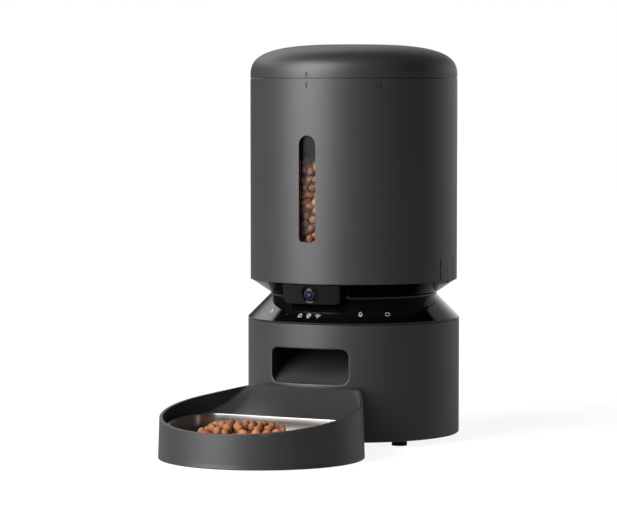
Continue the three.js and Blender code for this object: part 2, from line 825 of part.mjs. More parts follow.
// Sloping duct from the well's outlet to the mouth.
function makeChute() {
  const front = baseInner - fitGap;
  const back = outletInner - innerWall;
  const low = mouthBottom - innerWall;
  const high = wellFloor - fitGap;
  const roof = mouthBottom + mouthHeight + innerWall;
  const shoulder = outletInner + outletLength + innerWall;
  const side = (points, halfWidth) => {
    const shape = new THREE.Shape(points.map(([y, z]) => new THREE.Vector2(y, z)));
    const solid = new THREE.ExtrudeGeometry(shape, { depth: halfWidth * 2, bevelEnabled: false });
    return solidOf(solid.rotateX(Math.PI / 2).rotateZ(Math.PI / 2).translate(-halfWidth, 0, 0));
  };
  const lip = innerWall * 3;
  const outer = side(
    [
      [-front - overrun, low],
      [-front + lip, low],
      [-back, high - innerWall * 2],
      [-back, high],
      [-shoulder, high],
      [-front + lip, roof],
      [-front - overrun, roof],
    ],
    mouthHalfWidth + innerWall,
  );
  const hollow = side(
    [
      [-front - overrun * 2, low + innerWall],
      [-front + lip, low + innerWall],
      [-back - innerWall, high - innerWall],
      [-back - innerWall, high + overrun],
      [-shoulder + innerWall, high + overrun],
      [-shoulder + innerWall, high - innerWall],
      [-front + lip, roof - innerWall],
      [-front - overrun * 2, roof - innerWall],
    ],
    mouthHalfWidth,
  );
  const round = drum(front, low - overrun, high - low + overrun * 2, 0, 0, shellSegments);
  return piece("outlet_chute", outer.intersect(round).subtract(hollow), finishes.inner);
}

// Battery bay, its contacts and door, the bottom plate, feet and screws.
function makeBottom() {
  const bayBottom = plateTop + fitGap;
  const bayTop = bayBottom + bayHeight;
  const [outerWidth, outerDepth] = [bayWidth + innerWall * 2, bayDepth + innerWall * 2];
  const bayBlock = block(outerWidth, outerDepth, bayHeight + innerWall, 0, bayBack, bayBottom);
  const bayRoom = block(bayWidth, bayDepth, bayHeight + overrun, 0, bayBack, bayBottom - overrun);
  const bay = bayBlock.subtract(bayRoom);
  const contacts = [-1, 1].map((side) => {
    const x = side * (bayWidth / 2 - fitGap - contactThickness / 2);
    const plate = block(contactThickness, contactWidth, contactHeight, x, bayBack, bayTop - contactDrop);
    return piece(side < 0 ? "battery_contact_left" : "battery_contact_right", plate, finishes.spring);
  });
  const cutBottom = plateBottom - overrun;
  const cutHeight = plateThickness + overrun * 2;
  const doorWidth = bayWidth - doorLap;
  const doorDepth = bayDepth - doorLap;
  const plateRound = drum(baseInner - fitGap, plateBottom, plateThickness, 0, 0, innerSegments);
  const sound = Array.from({ length: soundHoles }, (_, i) => {
    const [x, y] = around(soundRing, (360 * i) / soundHoles);
    return drum(soundHole, cutBottom, cutHeight, x, y - speakerFront, smallSegments);
  });
  const pilots = screwPlaces().map(([x, y]) =>
    drum(screwShank + fitGap, cutBottom, cutHeight, x, y, smallSegments),
  );
  const headRoom = overrun + screwHeadHeight - plateRecess;
  const headRooms = screwPlaces().map(([x, y]) =>
    drum(screwHead + fitGap, cutBottom, headRoom, x, y, smallSegments),
  );
  const doorHole = block(doorWidth, doorDepth, cutHeight, 0, bayBack, cutBottom);
  const plate = cutBy(plateRound, [...sound, ...pilots, ...headRooms, doorHole]);
  const door = block(doorWidth - slideGap, doorDepth - slideGap, plateThickness, 0, bayBack, plateBottom);
  const feet = footPlaces().map(([x, y], i) =>
    piece(`rubber_foot_${i + 1}`, drum(footRadius, 0, plateBottom - fitGap, x, y), finishes.rubber),
  );
  const headBottom = plateBottom - plateRecess - fitGap;
  const screws = screwPlaces().map(([x, y], i) => {
    const head = drum(screwHead, headBottom, screwHeadHeight, x, y, smallSegments);
    const shank = drum(screwShank, headBottom, screwHeadHeight + screwLength, x, y, smallSegments);
    return piece(`bottom_screw_${i + 1}`, joined([head, shank]), finishes.steel);
  });
  return [
    piece("bottom_plate", plate, finishes.inner),
    piece("battery_bay", bay, finishes.inner),
    piece("battery_door", door, finishes.inner),
    ...contacts,
    ...feet,
    ...screws,
    ...makeElectrics(bayTop + innerWall),
  ];
}

function makeElectrics(bayRoof) {
  const boardBottom = bayRoof + fitGap;
  const boardX = -bayWidth / 2 + mainBoardLeft;
  const board = joined([
    block(mainBoardWidth, mainBoardDepth, boardThickness, boardX, bayBack, boardBottom),
    ...[-1, 1].map((side) =>
      block(chipSize, chipSize, chipHeight + boardThickness, boardX, bayBack + side * chipSize, boardBottom),
    ),
  ]);
  const speakerBottom = plateTop + fitGap;
  const speaker = turned(
    [
      [0, speakerBottom],
      [speakerRadius, speakerBottom],
      [speakerRadius, speakerBottom + speakerHeight / 3],
      [speakerRadius / 2, speakerBottom + (speakerHeight * 2) / 3],
      [speakerRadius / 2, speakerBottom + speakerHeight],
      [0, speakerBottom + speakerHeight],
    ],
    roundSegments,
  );
  const socket = new THREE.LatheGeometry(
    [
      [0, 0],
      [socketRadius, 0],
      [socketRadius, socketDepth],
      [socketBore, socketDepth],
      [socketBore, socketFloor],
      [socketPin, socketFloor],
      [socketPin, socketDepth - socketPin],
      [0, socketDepth - socketPin],
    ].map(([r, z]) => new THREE.Vector2(r, z)),
    roundSegments,
  ).translate(0, baseRadius - socketDepth - edgeBevel / 3, socketHeight);
  return [
    piece("main_board", board, finishes.board),
    piece("speaker", speaker.translate([0, -speakerFront, 0]), finishes.rubber),
    piece("power_socket", solidOf(socket), finishes.inner),
  ];
}

// Camera pod

// Front outline of the pod pushed through a ring. `down` lengthens it below and makes its sides
// upright, for the notch that lifts off it.
function podBlank(margin, down) {
  const top = podBottom + podHeight + margin;
  const bottom = podBottom - margin - down;
  const slope = (podTopReach - podBottomReach) / podHeight;
  const reachAt = (z) => podBottomReach + (z - podBottom) * slope + margin;
  const ring = turned([
    [podBack - margin, bottom],
    [reachAt(bottom), bottom],
    [reachAt(top), top],
    [podBack - margin, top],
  ]);
  const corner = podCorner + margin;
  const wide = podTopHalfWidth + margin;
  const narrow = down > 0 ? wide : podBottomHalfWidth + margin;
  const outline = [
    ...arc(narrow - corner, bottom + corner, corner, -90, 0, outlineShortSteps / 2),
    [wide, top + overrun],
    [-wide, top + overrun],
    ...arc(corner - narrow, bottom + corner, corner, 180, 270, outlineShortSteps / 2),
  ];
  return ring.intersect(pushed(outline, -podTopReach - overrun * 4, podTopReach));
}

function makeCamera() {
  const slope = (podTopReach - podBottomReach) / podHeight;
  const tilt = (Math.atan(slope) * 180) / Math.PI;
  const reach = podBottomReach + (lensHeight - podBottom) * slope;
  const aim = (solid) => solid.rotate([90 + tilt, 0, 0]).translate([0, -reach, lensHeight]);
  const cavityFront = -podFace;
  const cavity = block(podCavityWidth, podCavityHeight, podCavityDepth, 0, 0, cavityFront - podCavityDepth);
  const port = drum(bezelRadius + fitGap, cavityFront - overrun, podFace + overrun * 2);
  const housing = cutBy(podBlank(0, 0), [aim(cavity), aim(port)]);
  const bezelInner = bezelRadius - bezelWall;
  const bezel = turned(
    [
      [bezelInner, -bezelDepth],
      [bezelRadius, -bezelDepth],
      [bezelRadius, bezelProud],
      [bezelInner, 0],
    ],
    roundSegments,
  );
  const lensRadius = bezelInner - fitGap;
  const lensBottom = -bezelDepth;
  const crown = [3, 2, 1, 0].map((i) => {
    const angle = (Math.PI / 2) * (i / 3);
    return [lensRadius * Math.sin(angle), -lensCrown + lensEdge + lensCrown * Math.cos(angle)];
  });
  const lens = turned([[0, lensBottom], [lensRadius, lensBottom], ...crown], roundSegments);
  const barrelTop = lensBottom - fitGap;
  const barrel = drum(barrelRadius, barrelTop - barrelLength, barrelLength);
  const boardTop = barrelTop - barrelLength - fitGap;
  const board = block(cameraBoardWidth, cameraBoardHeight, boardThickness, 0, 0, boardTop - boardThickness);
  return [
    piece("camera_housing", housing, finishes.pod),
    piece("camera_bezel", aim(bezel), finishes.gloss),
    piece("camera_lens", aim(lens), finishes.glass),
    piece("camera_barrel", aim(barrel), finishes.rubber),
    piece("camera_board", aim(board), finishes.board),
  ];
}

// Tray and bowl

// Tray's outline: a round front, sides that draw in towards the tower, and a back that follows the base.
function trayOutline(inset, backGap = slideGap) {
  const radius = trayRadius - inset;
  const back = baseRadius + backGap;
  const side = -trayTaper;
  const sideX = radius * Math.cos(radians(trayTaper));
  const sideY = radius * Math.sin(radians(trayTaper)) - trayCentre;
  const along = [-Math.sin(radians(trayTaper)), Math.cos(radians(trayTaper))];
  const dot = sideX * along[0] + sideY * along[1];
  const run = -dot - Math.sqrt(dot ** 2 - (sideX ** 2 + sideY ** 2 - back ** 2));
  const meet = [sideX + along[0] * run, sideY + along[1] * run];
  const meetAngle = (Math.atan2(meet[1], meet[0]) * 180) / Math.PI;
  return [
    ...arc(0, -trayCentre, radius, 180 + side, 360 - side, outlineSteps),
    ...arc(0, 0, back, meetAngle, -180 - meetAngle, outlineShortSteps * 2),
  ];
}

// Bowl's outline: round front and flat back with round corners.
function bowlOutline(radius) {
  const back = -bowlBack - (bowlRimRadius - radius);
  const corner = bowlCorner - (bowlRimRadius - radius) / 2;
  const cornerReach = radius - corner;
  const offset = back - corner + trayCentre;
  const angle = (Math.asin(offset / cornerReach) * 180) / Math.PI;
  const x = Math.sqrt(cornerReach ** 2 - offset ** 2);
  return [
    ...arc(0, -trayCentre, radius, 180 - angle, 360 + angle, outlineSteps),
    ...arc(x, back - corner, corner, angle, 90, outlineShortSteps).slice(1),
    ...arc(-x, back - corner, corner, 90, 180 - angle, outlineShortSteps).slice(0, -1),
  ];
}

// Everything above the tray's sloping rim, lowered by `drop`.
function aboveRim(drop) {
  const front = -trayCentre - trayRadius;
  const back = -baseRadius + trayShoulder;
  const slope = (trayBackHeight - trayFrontHeight) / (back - front);
  const rimAt = (y) => trayFrontHeight - drop + (y - front) * slope;
  const shape = new THREE.Shape(
    [
      [front - trayEdge, rimAt(front - trayEdge)],
      [back, rimAt(back)],
      [back, trayBackHeight * 2],
      [front - trayEdge, trayBackHeight * 2],
    ].map(([y, z]) => new THREE.Vector2(y, z)),
  );
  const depth = trayRadius * 2 + trayEdge * 2;
  const solid = new THREE.ExtrudeGeometry(shape, { depth, bevelEnabled: false });
  return solidOf(solid.rotateX(Math.PI / 2).rotateZ(Math.PI / 2).translate(-depth / 2, 0, 0));
}

// Outline raised to full height, with its lower edge drawn in and rounded.
function dished(points, bottom, height, lean, rise) {
  const shape = new THREE.Shape(points.map(([x, y]) => new THREE.Vector2(x, y)));
  const bevel = { bevelSize: lean, bevelOffset: -lean, bevelThickness: rise, bevelSegments: 3 };
  const solid = new THREE.ExtrudeGeometry(shape, { depth: height, bevelEnabled: true, ...bevel });
  return solidOf(solid.translate(0, 0, bottom + rise)).intersect(raised(points, bottom, height));
}

// Turns what is drawn level at the bowl's rim to the bowl's slope.
function tipped(solid) {
  const front = -trayCentre - bowlRimRadius;
  return solid.translate([0, -front, 0]).rotate([bowlTilt, 0, 0]).translate([0, front, bowlFrontHeight]);
}

// Space above the bowl's ledge and the chute that rises from it to the tray's back edge.
function trayHollow() {
  const tilt = Math.tan(radians(bowlTilt));
  const bowlFront = -trayCentre - bowlRimRadius;
  const ledgeAt = (y) => bowlFrontHeight - bowlWall - fitGap + (y - bowlFront) * tilt;
  const front = bowlFront - trayWall * 2;
  const chuteFront = -bowlBack + slideGap;
  const chuteBack = -baseRadius;
  const length = chuteBack - chuteFront;
  const height = trayBackHeight - ledgeAt(chuteFront);
  const curve = Array.from({ length: outlineShortSteps + 1 }, (_, i) => {
    const angle = radians((chuteSweep * i) / outlineShortSteps);
    const end = radians(chuteSweep);
    return [
      chuteFront + (length * Math.sin(angle)) / Math.sin(end),
      ledgeAt(chuteFront) + (height * (1 - Math.cos(angle))) / (1 - Math.cos(end)),
    ];
  });
  const top = trayBackHeight * 2;
  const points = [[front, ledgeAt(front)], ...curve, [chuteBack, top], [front, top]];
  const shape = new THREE.Shape(points.map(([y, z]) => new THREE.Vector2(y, z)));
  const solid = new THREE.ExtrudeGeometry(shape, { depth: trayRadius * 2, bevelEnabled: false });
  const slab = solidOf(solid.rotateX(Math.PI / 2).rotateZ(Math.PI / 2).translate(-trayRadius, 0, 0));
  return slab.intersect(raised(trayOutline(trayWall, -overrun), 0, top));
}

function makeTray() {
  const outer = dished(trayOutline(0), trayBottom, trayBackHeight - trayBottom, trayEdge, trayEdge);
  const wellRadius = bowlRimRadius - bowlRimWidth + slideGap;
  const wellDepth = bowlDepth + slideGap + bowlWall;
  const well = tipped(dished(bowlOutline(wellRadius), -wellDepth, wellDepth + overrun, bowlLean, bowlRise));
  const padPlaces = [0, 1, 2].map((i) => around(padPlace, 120 * i));
  const pocketHeight = padHeight + fitGap + overrun - trayBottom;
  const pockets = padPlaces.map(([x, y]) =>
    drum(padRadius + fitGap, trayBottom - overrun, pocketHeight, x, y - trayCentre),
  );
  const pads = padPlaces.map(([x, y], i) =>
    piece(`tray_pad_${i + 1}`, drum(padRadius, 0, padHeight, x, y - trayCentre), finishes.rubber),
  );
  const tray = cutBy(outer, [aboveRim(0), trayHollow(), well, ...pockets]);
  const rim = raised(bowlOutline(bowlRimRadius), -bowlWall, bowlWall);
  const cupRadius = bowlRimRadius - bowlRimWidth;
  const cup = dished(bowlOutline(cupRadius), -bowlDepth, bowlDepth, bowlLean, bowlRise);
  const room = dished(bowlOutline(cupRadius - bowlWall), bowlWall - bowlDepth, bowlDepth, bowlLean, bowlRise);
  const bowl = tipped(rim.add(cup).subtract(room));
  return [piece("food_tray", tray, finishes.shell), piece("steel_bowl", bowl, finishes.steel), ...pads];
}

// Whole feeder

const feeder = new THREE.Group();
feeder.add(...makeLid());
feeder.add(...makeTank());
feeder.add(...makeHopperFloor());
feeder.add(...makeRotor());
feeder.add(...makeDrive());
feeder.add(makeBaseShell());
feeder.add(...makePanel());
feeder.add(makeDeck());
feeder.add(makeChute());
feeder.add(...makeBottom());
feeder.add(...makeCamera());
feeder.add(...makeTray());
feeder.position.y = (trayCentre + trayRadius - baseRadius) / 2;

export default feeder;
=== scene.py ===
"""Camera pet feeder: the looks of every piece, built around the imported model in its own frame, in metres."""

import json
import logging
import math
from collections.abc import Callable, Iterable, Sequence
from dataclasses import dataclass
from enum import Enum
from typing import Any

import bmesh
import bpy
from mathutils import Matrix, Vector


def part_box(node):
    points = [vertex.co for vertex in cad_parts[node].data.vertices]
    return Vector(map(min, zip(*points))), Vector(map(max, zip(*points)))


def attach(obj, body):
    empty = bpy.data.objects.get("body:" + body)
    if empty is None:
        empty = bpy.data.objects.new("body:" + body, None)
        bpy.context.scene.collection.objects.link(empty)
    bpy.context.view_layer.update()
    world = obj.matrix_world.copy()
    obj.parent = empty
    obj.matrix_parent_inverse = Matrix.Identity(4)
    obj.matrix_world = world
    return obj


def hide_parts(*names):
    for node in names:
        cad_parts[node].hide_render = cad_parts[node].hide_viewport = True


LOG = logging.getLogger("feeder")
MM = 0.001
SHELL_SEGMENTS = 256
SOCKET_SEGMENTS = 64
LENS_SEGMENTS = 96
ARC_STEPS = 8
SHARP_ANGLE = math.radians(32)
OVERRUN = 4 * MM
SKIN = 0.02 * MM
MERGE_DISTANCE = 0.002 * MM
TONE_ATTRIBUTE = "tone"
Point = tuple[float, float]
Outline = list[Point]
Piece = bpy.types.Object
Vert = bmesh.types.BMVert


class Body(Enum):
    """The moving bodies of the model that a piece can ride on."""

    BASE = "base"
    TANK = "tank"
    LID = "lid"
    LATCH_LEFT = "latch_left"
    LATCH_RIGHT = "latch_right"
    TRAY = "tray"
    BOWL = "bowl"


# Colour and nodes


def srgb(code: str) -> tuple[float, float, float, float]:
    """Turn a hex colour into linear light.

    Args:
        code: Six hex digits after a hash.

    Returns:
        Linear red, green, blue and an alpha of one.
    """
    parts = [int(code[i : i + 2], 16) / 255 for i in (1, 3, 5)]
    linear = [c / 12.92 if c <= 0.04045 else ((c + 0.055) / 1.055) ** 2.4 for c in parts]
    return (linear[0], linear[1], linear[2], 1.0)


def add_node(tree: bpy.types.NodeTree, kind: str, settings: dict[str, Any], links: dict[Any, Any]) -> bpy.types.Node:
    """Add a node with its settings, socket values and links.

    Args:
        tree: The tree that the node joins.
        kind: The node's type name.
        settings: Properties of the node itself.
        links: For each input, by name or number, a plain value or an output socket.

    Returns:
        The new node.
    """
    node = tree.nodes.new(kind)
    for name, value in settings.items():
        setattr(node, name, value)
    for name, value in links.items():
        if isinstance(value, bpy.types.NodeSocket):
            tree.links.new(value, node.inputs[name])
        else:
            node.inputs[name].default_value = value
    return node


def empty_tree(owner: bpy.types.Material | bpy.types.World) -> bpy.types.NodeTree:
    """Switch the nodes of a new material or world on and clear them.

    Args:
        owner: The material or world.

    Returns:
        Its node tree, with no node in it.
    """
    owner.use_nodes = True
    owner.node_tree.nodes.clear()
    return owner.node_tree


def set_stops(ramp: bpy.types.ColorRamp, stops: Sequence[tuple[float, str]]) -> None:
    """Give a colour ramp its stops.

    Args:
        ramp: The ramp, new and with two stops.
        stops: Places from 0 to 1, each with a hex colour.
    """
    while len(ramp.elements) < len(stops):
        ramp.elements.new(0.5)
    for element, (place, code) in zip(ramp.elements, stops):
        element.position = place
        element.color = srgb(code)


@dataclass(frozen=True)
class Finish:
    """A surface: its colour, its gloss and the fine relief that the mould or tool left.

    Grain, relief and patch sizes are in millimetres. A grain that is finer than a pixel is
    drawn coarser than life, so that it still softens the reflections.
    """

    name: str
    slot: str
    colour: str
    roughness: float
    second: str
    metallic: float = 0.0
    ior: float = 1.5
    grain: float = 0.6
    grain_detail: float = 2.0
    relief: float = 0.02
    relief_strength: float = 0.3
    patch: float = 30.0
    patch_detail: float = 3.0
    alpha: float = 1.0
    coat: float = 0.0
    coat_roughness: float = 0.03
    stretch: tuple[float, float, float] = (1.0, 1.0, 1.0)
    roughness_spread: float = 0.06

    def material(self) -> bpy.types.Material:
        """Build the finish once.

        Returns:
            Its material, the same one at every call.
        """
        found = bpy.data.materials.get(self.name)
        if found is not None:
            return found
        made = bpy.data.materials.new(self.name)
        tree = empty_tree(made)
        coords = add_node(tree, "ShaderNodeTexCoord", {}, {})
        mapped = add_node(tree, "ShaderNodeMapping", {}, {"Vector": coords.outputs["Object"], "Scale": self.stretch})
        patches, grain = (
            add_node(
                tree,
                "ShaderNodeTexNoise",
                {},
                {"Vector": mapped.outputs["Vector"], "Scale": 1 / (size * MM), "Detail": detail},
            ).outputs["Fac"]
            for size, detail in ((self.patch, self.patch_detail), (self.grain, self.grain_detail))
        )
        colours = {0: patches, 6: srgb(self.colour), 7: srgb(self.second)}
        tint = add_node(tree, "ShaderNodeMix", {"data_type": "RGBA"}, colours)
        half = self.roughness_spread / 2
        limits = {"To Min": max(0.0, self.roughness - half), "To Max": self.roughness + half}
        gloss = add_node(tree, "ShaderNodeMapRange", {}, {"Value": patches, **limits})
        depth = {"Distance": self.relief * MM, "Strength": self.relief_strength}
        bump = add_node(tree, "ShaderNodeBump", {}, {"Height": grain, **depth})
        shader = add_node(
            tree,
            "ShaderNodeBsdfPrincipled",
            {},
            {
                "Base Color": tint.outputs[2],
                "Roughness": gloss.outputs["Result"],
                "Normal": bump.outputs["Normal"],
                "Metallic": self.metallic,
                "IOR": self.ior,
                "Alpha": self.alpha,
                "Coat Weight": self.coat,
                "Coat Roughness": self.coat_roughness,
            },
        )
        add_node(tree, "ShaderNodeOutputMaterial", {}, {"Surface": shader.outputs["BSDF"]})
        return made


# Injection-moulded ABS with a fine spark-eroded skin: an even satin that spreads each highlight.
SATIN_SHELL = Finish("satin_abs", "shell_plastic", "#28282a", 0.47, "#2a2a2c", ior=1.62, grain=0.9,
                     relief=0.03, patch=60)
# Polished black ABS: near black, with sharp reflections.
GLOSS_RING = Finish("polished_black_abs", "gloss_black", "#060607", 0.03, "#08080a", relief=0.0, patch=80,
                    roughness_spread=0.01)
# Smooth dark polycarbonate of the camera's pod: duller than the ring, with a broad weak highlight.
POD_SKIN = Finish("smooth_dark_polycarbonate", "pod_plastic", "#0f0f10", 0.33, "#121213", ior=1.28,
                  relief=0.01)
# Moulded polypropylene of the parts inside: dull, with a waxy grain.
INNER_SKIN = Finish("moulded_polypropylene", "inner_plastic", "#2b2b2d", 0.5, "#303032", grain=1.2, relief=0.05)
# Clear moulded polycarbonate with a light smoke tint: faint reflections, and the food shows through.
CLEAR_PANE = Finish("smoked_clear_polycarbonate", "clear_plastic", "#2c2c2e", 0.04, "#303032", alpha=0.07,
                    relief=0.002)
# Stainless sheet, brushed along X after stamping: highlights drawn out by streaks a millimetre apart.
BOWL_STEEL = Finish("brushed_stainless", "steel", "#b0aca7", 0.28, "#aaa6a1", metallic=1.0, grain=1.0, relief=0.002,
                    stretch=(0.04, 1.0, 1.0), roughness_spread=0.03)
# Turned steel of the shaft, screws and motor can: bright, with slightly soft reflections.
TURNED_STEEL = Finish("turned_steel", "steel", "#b4b3b0", 0.32, "#a9a8a5", metallic=1.0, grain=0.5)
# Nickel-plated spring strip: brighter and warmer than the turned steel.
SPRING_STRIP = Finish("nickel_spring_strip", "spring_steel", "#cfcbc0", 0.25, "#c4c0b6", metallic=1.0)
# Moulded silicone: soft and slightly greasy.
SILICONE = Finish("moulded_silicone", "silicone", "#85878a", 0.55, "#7d7f82", ior=1.41, grain=2.0)
# Vulcanised rubber: matt, with a dusty bloom.
RUBBER = Finish("vulcanised_rubber", "rubber", "#111112", 0.85, "#19191a", grain=0.7, relief=0.06)
# Moulded acetal gears in their natural colour: milky and waxy.
ACETAL = Finish("natural_acetal", "gear_plastic", "#e4e1d8", 0.4, "#dad7cc", grain=1.5)
# Green solder mask over a glass-fibre board: half gloss, in two close greens.
SOLDER_MASK = Finish("solder_mask", "circuit_board", "#1d5b35", 0.35, "#184c2c", grain=0.8, patch=6)
# Non-woven sachet filled with granules: matt and bumpy.
SACHET = Finish("non_woven_sachet", "granules", "#dcdcd6", 0.9, "#cfcfc8", grain=1.6, relief=0.4)
# Coated optical glass: black, with hard reflections.
LENS_GLASS = Finish("coated_lens_glass", "lens_glass", "#0a0813", 0.02, "#0d0a1c", ior=1.52, relief=0.0, coat=1.0,
                    roughness_spread=0.0)
# Moulded bezel round the lens: a little duller than the ring.
BEZEL_BLACK = Finish("moulded_black_bezel", "gloss_black", "#0a0a0b", 0.16, "#0c0c0e", ior=1.3, relief=0.0)
# Screen-printed ink of the icons: flat, pale and slightly raised.
ICON_INK = Finish("screen_printed_ink", "gloss_black", "#d9dadc", 0.5, "#cfd0d2", relief=0.01)
# The same ink with its indicator off: grey and hardly seen.
ICON_DIM = Finish("dimmed_indicator_ink", "gloss_black", "#4a4b4e", 0.4, "#45464a", relief=0.01)
# Extruded and baked food: rough, with darker and lighter sides.
KIBBLE = Finish("baked_kibble", "granules", "#9c6238", 0.7, "#734427", grain=1.5, relief=0.4,
                relief_strength=0.6, patch=7)


# Mesh making


def plain_object(name: str, work: bmesh.types.BMesh) -> Piece:
    """Put a bmesh in the scene as an object at the origin.

    Args:
        name: The new object's name.
        work: The mesh being edited, which is freed.

    Returns:
        The object.
    """
    mesh = bpy.data.meshes.new(name)
    work.to_mesh(mesh)
    work.free()
    made = bpy.data.objects.new(name, mesh)
    bpy.context.scene.collection.objects.link(made)
    return made


def closed_object(name: str, work: bmesh.types.BMesh) -> Piece:
    """Merge a bmesh's doubles, turn its faces outward and make it an object.

    Args:
        name: The new object's name.
        work: The mesh being edited, which is freed.

    Returns:
        The object, at the origin.
    """
    bmesh.ops.remove_doubles(work, verts=work.verts, dist=MERGE_DISTANCE)
    loose = [edge for edge in work.edges if not edge.link_faces]
    bmesh.ops.delete(work, geom=loose, context="EDGES")
    bmesh.ops.recalc_face_normals(work, faces=work.faces)
    return plain_object(name, work)


def turns(total: float, steps: int) -> list[float]:
    """Even angles from 0 to a total, one more than there are steps."""
    return [total * i / steps for i in range(steps + 1)]


def arc(x: float, y: float, radius: float, start: float, end: float, steps: int = ARC_STEPS) -> Outline:
    """Points on a circle's arc.

    Args:
        x: The centre's first coordinate.
        y: The centre's second coordinate.
        radius: The circle's radius.
        start: First angle in degrees from the first axis.
        end: Last angle in degrees.
        steps: How many chords the arc has.

    Returns:
        One point more than there are steps.
    """
    angles = [math.radians(start + (end - start) * i / steps) for i in range(steps + 1)]
    return [(x + radius * math.cos(a), y + radius * math.sin(a)) for a in angles]


def rounded_box(
    width: float, height: float, x: float, y: float, lower: float, upper: float | None = None
) -> Outline:
    """Rectangle with round corners, counted against the clock.

    Args:
        width: Full width.
        height: Full height.
        x: Middle of the width.
        y: Middle of the height.
        lower: Radius of the two lower corners.
        upper: Radius of the two upper corners, or None for the same.

    Returns:
        The outline's points.
    """
    top = lower if upper is None else upper
    left, right, low, high = x - width / 2, x + width / 2, y - height / 2, y + height / 2
    return (
        arc(right - lower, low + lower, lower, -90, 0)
        + arc(right - top, high - top, top, 0, 90)
        + arc(left + top, high - top, top, 90, 180)
        + arc(left + lower, low + lower, lower, 180, 270)
    )


def lathe(name: str, profile: Sequence[Point], centre: Vector, segments: int = SHELL_SEGMENTS) -> Piece:
    """Turn a closed profile of radius and height about an upright axis.

    Args:
        name: The new object's name.
        profile: Radius and height pairs; the ends meet, or lie on the axis.
        centre: A point on the axis.
        segments: Steps round the circle.

    Returns:
        A closed object.
    """
    work = bmesh.new()
    points = list(profile)
    if points[0][0] > 0 or points[-1][0] > 0:
        points.append(points[0])
    columns: list[list[Vert]] = []
    for step in range(segments):
        angle = 2 * math.pi * step / segments
        along = Vector((math.sin(angle), -math.cos(angle), 0))
        columns.append([work.verts.new(centre + along * r + Vector((0, 0, z))) for r, z in points])
    for this, after in zip(columns, columns[1:] + columns[:1]):
        for k in range(len(points) - 1):
            work.faces.new((this[k], after[k], after[k + 1], this[k + 1]))
    return closed_object(name, work)


def fine_profile(profile: Sequence[Point], step: float, hold: float = 0.12 * MM) -> Outline:
    """Split a profile's long stretches, so that cuts meet small even faces and rounds shade only themselves.

    Args:
        profile: Radius and height pairs.
        step: Longest stretch allowed.
        hold: Distance from each end of a long stretch to its first and last added point.

    Returns:
        The same line with more points.
    """
    points: Outline = []
    closed = list(profile) + [profile[0]]
    for (r0, z0), (r1, z1) in zip(closed, closed[1:]):
        length = math.hypot(r1 - r0, z1 - z0)
        count = max(1, math.ceil(length / step))
        shares = [i / count for i in range(count)]
        if length > 8 * hold:
            shares = sorted(shares + [hold / length, 1 - hold / length])
        points += [(r0 + (r1 - r0) * share, z0 + (z1 - z0) * share) for share in shares]
    return points


def bridge(work: bmesh.types.BMesh, rings: Sequence[Sequence[Vert]]) -> None:
    """Add faces between closed rings of equal length.

    Args:
        work: The mesh being edited.
        rings: The rings' vertices, in order.
    """
    for this, after in zip(rings, rings[1:]):
        for i in range(len(this)):
            j = (i + 1) % len(this)
            work.faces.new((this[i], this[j], after[j], after[i]))


def loft(name: str, rings: Sequence[Sequence[Vector]]) -> Piece:
    """Join rings of equal length into a closed solid with a flat face at each end.

    Args:
        name: The new object's name.
        rings: Closed rings of places.

    Returns:
        The solid.
    """
    work = bmesh.new()
    made = [[work.verts.new(place) for place in ring] for ring in rings]
    bridge(work, made)
    for end in (made[0], made[-1]):
        work.faces.new(end)
    return closed_object(name, work)


def prism(
    name: str, outline: Outline, place: Callable[[float, float, float], Vector], near: float, far: float
) -> Piece:
    """Push an outline from one depth to another.

    Args:
        name: The new object's name.
        outline: The outline's points.
        place: Turns a point and a depth into a place.
        near: First depth.
        far: Last depth.

    Returns:
        A closed object.
    """
    return loft(name, [[place(a, b, depth) for a, b in outline] for depth in (near, far)])


def facing_front(x: float, z: float, depth: float) -> Vector:
    """Place of an outline drawn in X and Z and pushed along Y."""
    return Vector((x, depth, z))


def facing_up(x: float, y: float, height: float) -> Vector:
    """Place of an outline drawn in X and Y and raised along Z."""
    return Vector((x, y, height))


def facing_side(y: float, z: float, across: float) -> Vector:
    """Place of an outline drawn in Y and Z and pushed along X."""
    return Vector((across, y, z))


def bake_modifiers(target: Piece) -> None:
    """Replace an object's mesh by what its modifiers make of it, and drop them.

    Args:
        target: The object that is changed.
    """
    graph = bpy.context.evaluated_depsgraph_get()
    graph.update()
    baked = bpy.data.meshes.new_from_object(target.evaluated_get(graph))
    target.modifiers.clear()
    target.data = baked


def boolean(target: Piece, tools: Iterable[Piece], operation: str = "DIFFERENCE") -> Piece:
    """Cut, join or keep the common part, and use the tools up.

    Args:
        target: The object that is changed.
        tools: The cutting objects, which are deleted.
        operation: DIFFERENCE, UNION or INTERSECT.

    Returns:
        The target.
    """
    for tool in list(tools):
        change = target.modifiers.new("cut", "BOOLEAN")
        change.operation = operation
        change.solver = "EXACT"
        change.object = tool
        bake_modifiers(target)
        bpy.data.objects.remove(tool)
    return target


def bevel(target: Piece, width: float, segments: int, degrees: float) -> None:
    """Round an object's sharp edges.

    Args:
        target: The object that is changed.
        width: Reach of the round, in metres.
        segments: Steps across the round.
        degrees: Edges that turn by more than this are rounded.
    """
    change = target.modifiers.new("round", "BEVEL")
    change.width = width
    change.segments = segments
    change.limit_method = "ANGLE"
    change.angle_limit = math.radians(degrees)
    change.harden_normals = False
    bake_modifiers(target)


def smooth(target: Piece, angle: float = SHARP_ANGLE) -> None:
    """Shade smooth, with hard edges where faces turn by more than the angle."""
    target.data.shade_smooth()
    target.data.set_sharp_from_angle(angle=angle)


